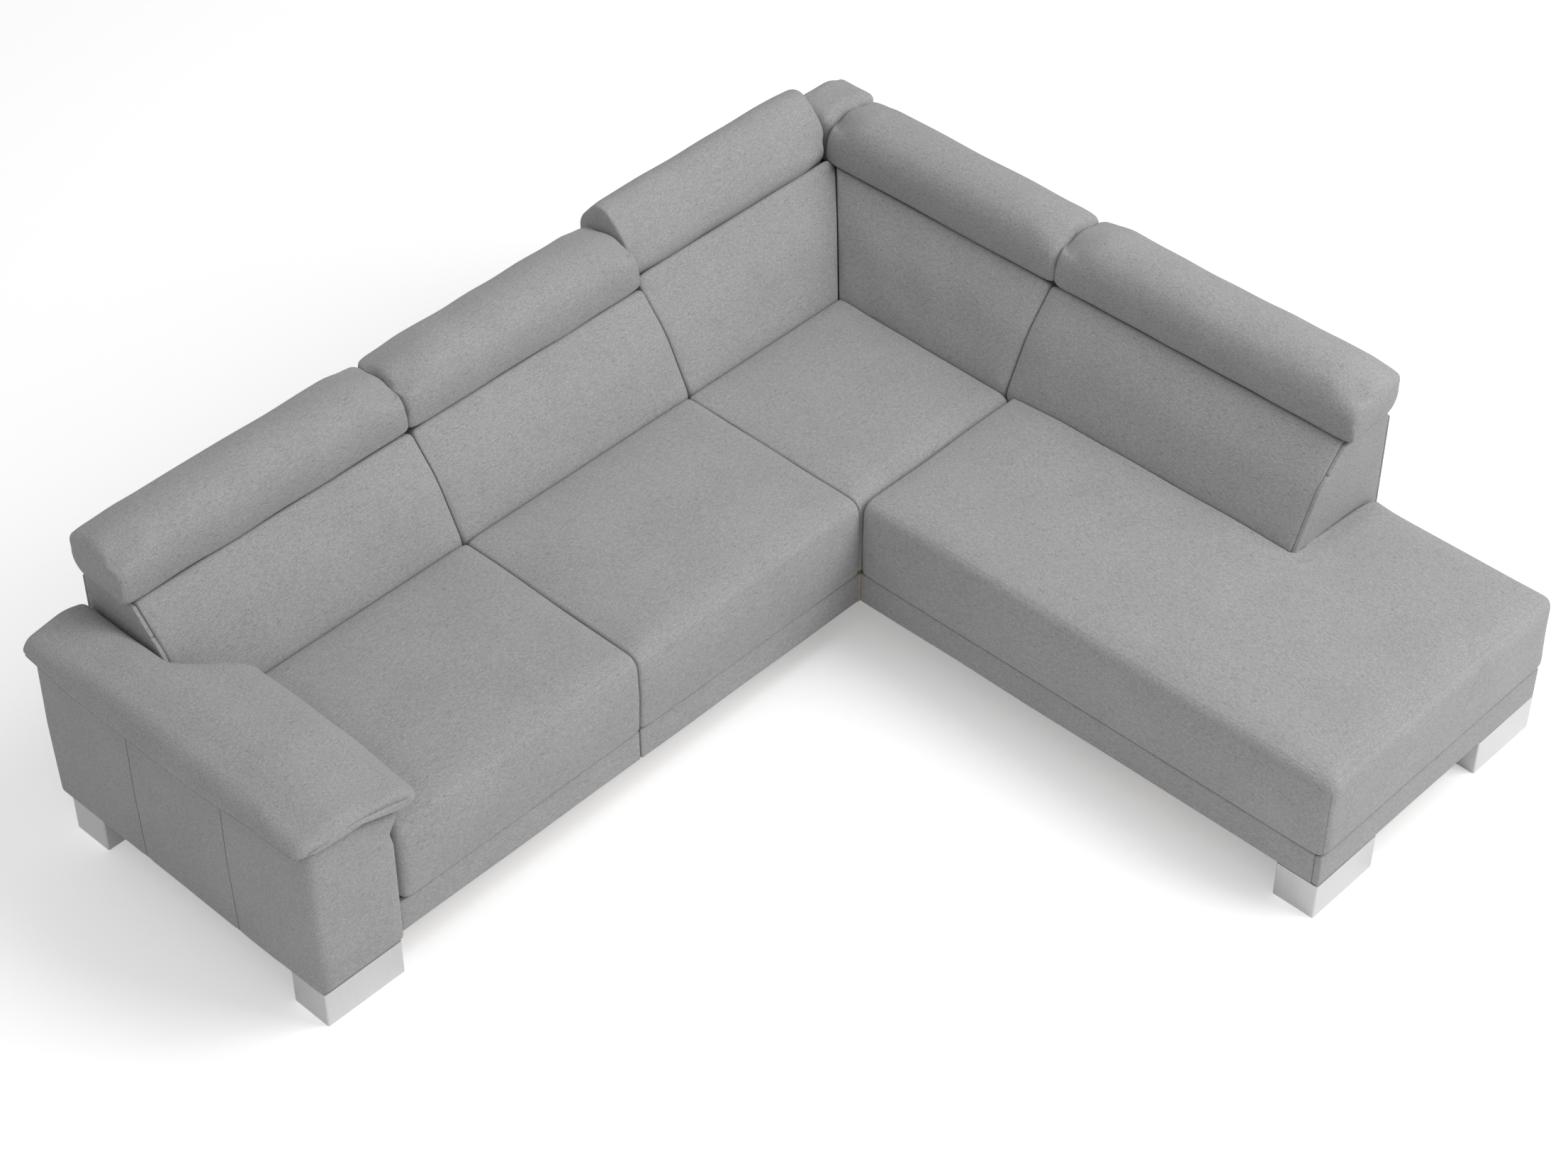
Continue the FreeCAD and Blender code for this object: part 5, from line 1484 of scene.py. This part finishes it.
@dataclass
class CoveredBoards:
    """Plinths, end boards and rear panels: boards wrapped in cloth over a thin wadding."""

    room: Workroom
    plinths: tuple[str, ...] = (
        "plinth_seat_1", "plinth_seat_2", "plinth_ottoman_front", "plinth_ottoman_end", "plinth_ottoman_rear",
    )
    panels: tuple[str, ...] = (
        "rear_panel_main", "rear_panel_corner_left", "rear_panel_corner_right", "rear_panel_ottoman",
    )
    end_boards: tuple[str, ...] = ("back_end_panel_main", "back_end_panel_side")
    meets: dict[str, tuple[float, float, float]] = field(default_factory=lambda: {
        "plinth_seat_2": (0.004, 0.0, 0.0), "plinth_ottoman_front": (0.0, 0.0028, 0.0),
    })

    def build(self) -> None:
        """Wrap every board."""
        for seed, name in enumerate(self.plinths):
            self._wrapped(name, 0.005, 0.0022, 70 + seed)
        for seed, name in enumerate(self.panels):
            self._wrapped(name, 0.0022, 0.0, 80 + seed)
        for name in self.end_boards:
            self._end_board(name)
        self._valleys()

    def _valleys(self) -> None:
        """Line the valley between the backs and their top rails with cloth."""
        section = [
            (-0.0445, 0.654), (-0.0445, 0.6468), (-0.030, 0.6466),
            (0.0112, 0.6466), (0.0114, 0.6905), (0.040, 0.6907),
        ]
        runs = {
            "valley_cloth_main": (Wing.MAIN, -2.5382, -0.8955),
            "valley_cloth_corner_left": (Wing.MAIN, -0.8945, -0.1372),
            "valley_cloth_corner_right": (Wing.SIDE, 0.0985, 0.9285),
            "valley_cloth_ottoman": (Wing.SIDE, 0.9295, 1.8292),
        }
        for seed, (name, (wing, low, high)) in enumerate(runs.items()):
            u = np.linspace(low, high, max(2, round((high - low) / 0.04)))
            points = np.array([(place, v, z) for place in u for v, z in section])
            points[:, 2] += 0.0004 * ripple(points, 90 + seed, 0.1)
            count = len(section)
            faces = [
                (i * count + j, (i + 1) * count + j, (i + 1) * count + j + 1, i * count + j + 1)
                for i in range(len(u) - 1) for j in range(count - 1)
            ]
            item = mesh_object(name, self.room.world(points, wing), faces)
            wall = item.modifiers.new("Thickness", "SOLIDIFY")
            wall.thickness, wall.offset = 0.0011, 1.0
            baked(item)
            dressed(item, self.room.finishes.cloth(wing), "sofa")
            log.info("lined %s", name)

    def _wrapped(self, name: str, edge: float, wave: float, seed: int) -> None:
        """Wrap a straight board.

        Args:
            name: the board's node.
            edge: the radius of its edges.
            wave: how uneven its lower edge is.
            seed: its own unevenness.
        """
        low, high = (np.array(corner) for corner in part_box(name))
        high += np.array(self.meets.get(name, (0.0, 0.0, 0.0)))
        size = high - low
        steps = np.maximum(1, np.round(size / 0.03)).astype(int)
        form = bmesh.new()
        bmesh.ops.create_cube(form, size=1.0)
        for axis in range(3):
            for cut in range(1, steps[axis]):
                plane = Vector((0.0, 0.0, 0.0))
                plane[axis] = -0.5 + cut / steps[axis]
                normal = Vector((0.0, 0.0, 0.0))
                normal[axis] = 1.0
                parts = form.verts[:] + form.edges[:] + form.faces[:]
                bmesh.ops.bisect_plane(form, geom=parts, plane_co=plane, plane_no=normal)
        sharp = [e for e in form.edges if len(e.link_faces) == 2 and e.calc_face_angle(0.0) > 1.0]
        for vert in form.verts:
            vert.co = Vector(low + (np.array(vert.co) + 0.5) * size)
        bmesh.ops.bevel(form, geom=sharp, offset=edge, segments=3, profile=0.5, affect="EDGES")
        mesh = bpy.data.meshes.new(name + "_cover")
        form.to_mesh(mesh)
        form.free()
        points = np.empty(len(mesh.vertices) * 3)
        mesh.vertices.foreach_get("co", points)
        points = points.reshape(-1, 3)
        foot = 1 - smooth_step(points[:, 2], low[2] + 0.005, low[2] + 0.04)
        points[:, 2] += foot * wave * (0.7 + ripple(points, seed, 0.35))
        mesh.vertices.foreach_set("co", points.ravel())
        mesh.shade_smooth()
        item = bpy.data.objects.new(name + "_cover", mesh)
        bpy.context.scene.collection.objects.link(item)
        wing = Wing.SIDE if size[1] > size[0] else Wing.MAIN
        dressed(item, self.room.finishes.cloth(wing), "sofa")
        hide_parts(name)
        log.info("wrapped %s", name)

    def _end_board(self, name: str) -> None:
        """Wrap an end board in a cover and a separate top piece, the top with a mesh of its own.

        Args:
            name: the board's node.
        """
        main = name.endswith("main")
        wing, reach = (Wing.MAIN, (-2.5498, -2.5376)) if main else (Wing.SIDE, (1.8288, 1.8408))
        seam, meeting, top = 0.640, -0.2022, 0.7015
        lower = [
            (0.0365, 0.2045, 0.006), (-0.3095, 0.2045, 0.006), (-0.3100, 0.456, 0.08), (-0.2330, 0.6105, 0.30),
            (meeting, seam, 0.0006), (0.0365, seam, 0.0006),
        ]
        upper = [
            (0.0365, seam, 0.0006), (meeting, seam, 0.0006), (-0.1465, top, 0.009), (0.0365, top, 0.008),
        ]
        cloth = self.room.finishes.cloth(Wing.SIDE if main else Wing.MAIN)
        end = End(0.003)
        pieces = []
        for part, corners in (("cover", lower), ("top", upper)):
            shell = Shell.loft(lambda u, inset: rounded(corners, inset, 120), *reach, 0.004, (end, end))
            item = mesh_object(f"{name}_{part}", self.room.world(shell.points, wing), shell.faces())
            pieces.append(dressed(item, cloth, "sofa"))
        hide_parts(name)
        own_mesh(pieces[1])
        log.info("wrapped %s", name)


@dataclass
class Hardware:
    """Feet, frames, springs and fittings: the solids keep their shape and get their finish."""

    finishes: Finishes

    def dress(self, frame: dict) -> None:
        """Give every remaining node its material.

        Args:
            frame: the loaded frame.
        """
        for part in frame["record"]["subparts"]:
            item = frame["nodes"][part["node"]]
            if not item.hide_render:
                item.data.materials.clear()
                item.data.materials.append(self.finishes.made[part["material_slot"]])
        log.info("dressed the hardware")


# Studio


@dataclass
class Studio:
    """Plain white studio: floor, soft lamps and the photograph's viewpoint."""

    room: Workroom
    ambient: float = 0.50
    lens: float = 77.373
    eye: tuple[float, float, float] = (-5.6984, -5.1986, 5.9734)
    azimuth: float = -0.813728
    elevation: float = 0.735262

    def build(self) -> None:
        """Make the camera, floor, lamps and surroundings."""
        self._camera()
        self._floor()
        self._world()
        self._lamp("key", (3.6, -5.2, 5.6), 4.5, 322.0)
        self._lamp("overhead", (1.9, -1.2, 6.2), 2.5, 80.0)
        self._lamp("fill", (-4.6, -2.4, 4.6), 4.5, 26.0)
        scene = bpy.context.scene
        scene.view_settings.view_transform = "Standard"

    def _camera(self) -> None:
        """Set the camera."""
        data = bpy.data.cameras.new("viewpoint")
        data.sensor_width = 36.0
        data.lens = self.lens
        data.clip_start, data.clip_end = 0.1, 100.0
        camera = bpy.data.objects.new("viewpoint", data)
        bpy.context.scene.collection.objects.link(camera)
        a, e = self.azimuth, self.elevation
        back = Vector((math.sin(a) * math.cos(e), -math.cos(a) * math.cos(e), math.sin(e)))
        camera.location = Vector(self.eye) + Vector((*self.room.axis, 0.0))
        camera.rotation_mode = "QUATERNION"
        camera.rotation_quaternion = (-back).to_track_quat("-Z", "Y")
        bpy.context.scene.camera = camera

    def _floor(self) -> None:
        """Lay the white floor."""
        mesh = bpy.data.meshes.new("floor")
        half = 30.0
        corners = [(-half, -half, 0), (half, -half, 0), (half, half, 0), (-half, half, 0)]
        mesh.from_pydata(corners, [], [(0, 1, 2, 3)])
        floor = bpy.data.objects.new("floor", mesh)
        bpy.context.scene.collection.objects.link(floor)
        material = bpy.data.materials.new("floor_white")
        material.use_nodes = True
        tree = material.node_tree
        tree.nodes.clear()
        sheet = NodeSheet(tree)
        path = sheet.add("ShaderNodeLightPath")
        matte = sheet.add("ShaderNodeBsdfDiffuse", {"Color": (0.93, 0.93, 0.935, 1.0)})
        glow = sheet.add("ShaderNodeEmission", {"Color": (1.0, 1.0, 1.0, 1.0), "Strength": 0.31})
        none = sheet.add("ShaderNodeEmission", {"Color": (0.0, 0.0, 0.0, 1.0), "Strength": 0.0})
        shown = sheet.add("ShaderNodeMixShader", {
            0: path.outputs["Is Camera Ray"], 1: none.outputs[0], 2: glow.outputs[0],
        })
        total = sheet.add("ShaderNodeAddShader", {0: matte.outputs[0], 1: shown.outputs[0]})
        sheet.add("ShaderNodeOutputMaterial", {"Surface": total.outputs[0]})
        mesh.materials.append(material)

    def _world(self) -> None:
        """Set the surroundings: white to the eye, softer as a light."""
        world = bpy.data.worlds.new("surroundings")
        bpy.context.scene.world = world
        world.use_nodes = True
        tree = world.node_tree
        tree.nodes.clear()
        sheet = NodeSheet(tree)
        path = sheet.add("ShaderNodeLightPath").outputs
        seen = sheet.math("MAXIMUM", path["Is Camera Ray"], path["Is Glossy Ray"])
        seen = sheet.math("MAXIMUM", seen, path["Is Transmission Ray"])
        strength = sheet.add("ShaderNodeMapRange", {0: seen, 1: 0.0, 2: 1.0, 3: self.ambient, 4: 1.0})
        back = sheet.add("ShaderNodeBackground", {
            "Color": (1.0, 1.0, 1.0, 1.0), "Strength": strength.outputs[0],
        })
        sheet.add("ShaderNodeOutputWorld", {"Surface": back.outputs[0]})

    def _lamp(self, name: str, place: tuple[float, float, float], size: float, power: float) -> None:
        """Hang a soft square lamp that points at the sofa.

        Args:
            name: the lamp's name.
            place: where it hangs.
            size: its side in metres.
            power: its power in watts.
        """
        data = bpy.data.lights.new(name, "AREA")
        data.shape = "SQUARE"
        data.size = size
        data.energy = power
        lamp = bpy.data.objects.new(name, data)
        bpy.context.scene.collection.objects.link(lamp)
        lamp.location = Vector(place)
        lamp.rotation_mode = "QUATERNION"
        lamp.rotation_quaternion = (Vector((0.2, 0.0, 0.3)) - Vector(place)).to_track_quat("-Z", "Y")


def main() -> None:
    """Build the sofa piece by piece."""
    logging.basicConfig(level=logging.INFO, format="%(asctime)s %(message)s")
    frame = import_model()
    finishes = Finishes()
    finishes.build()
    room = Workroom(finishes)
    room.measure()
    Studio(room).build()
    seats, backs, headrests, arm = Seats(room), Backs(room), Headrests(room), Armrest(room)
    for part in (seats, backs, headrests, arm, CornerBlock(room)):
        part.build()
        log.info("shaped %s", type(part).__name__)
    room.finish_pieces()
    seams = SeamWork(room)
    for part in (seats, headrests, arm):
        part.sew(seams)
    seams.sew()
    backs.fold()
    CoveredBoards(room).build()
    Hardware(finishes).dress(frame)
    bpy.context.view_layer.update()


if __name__ == "__main__":
    main()
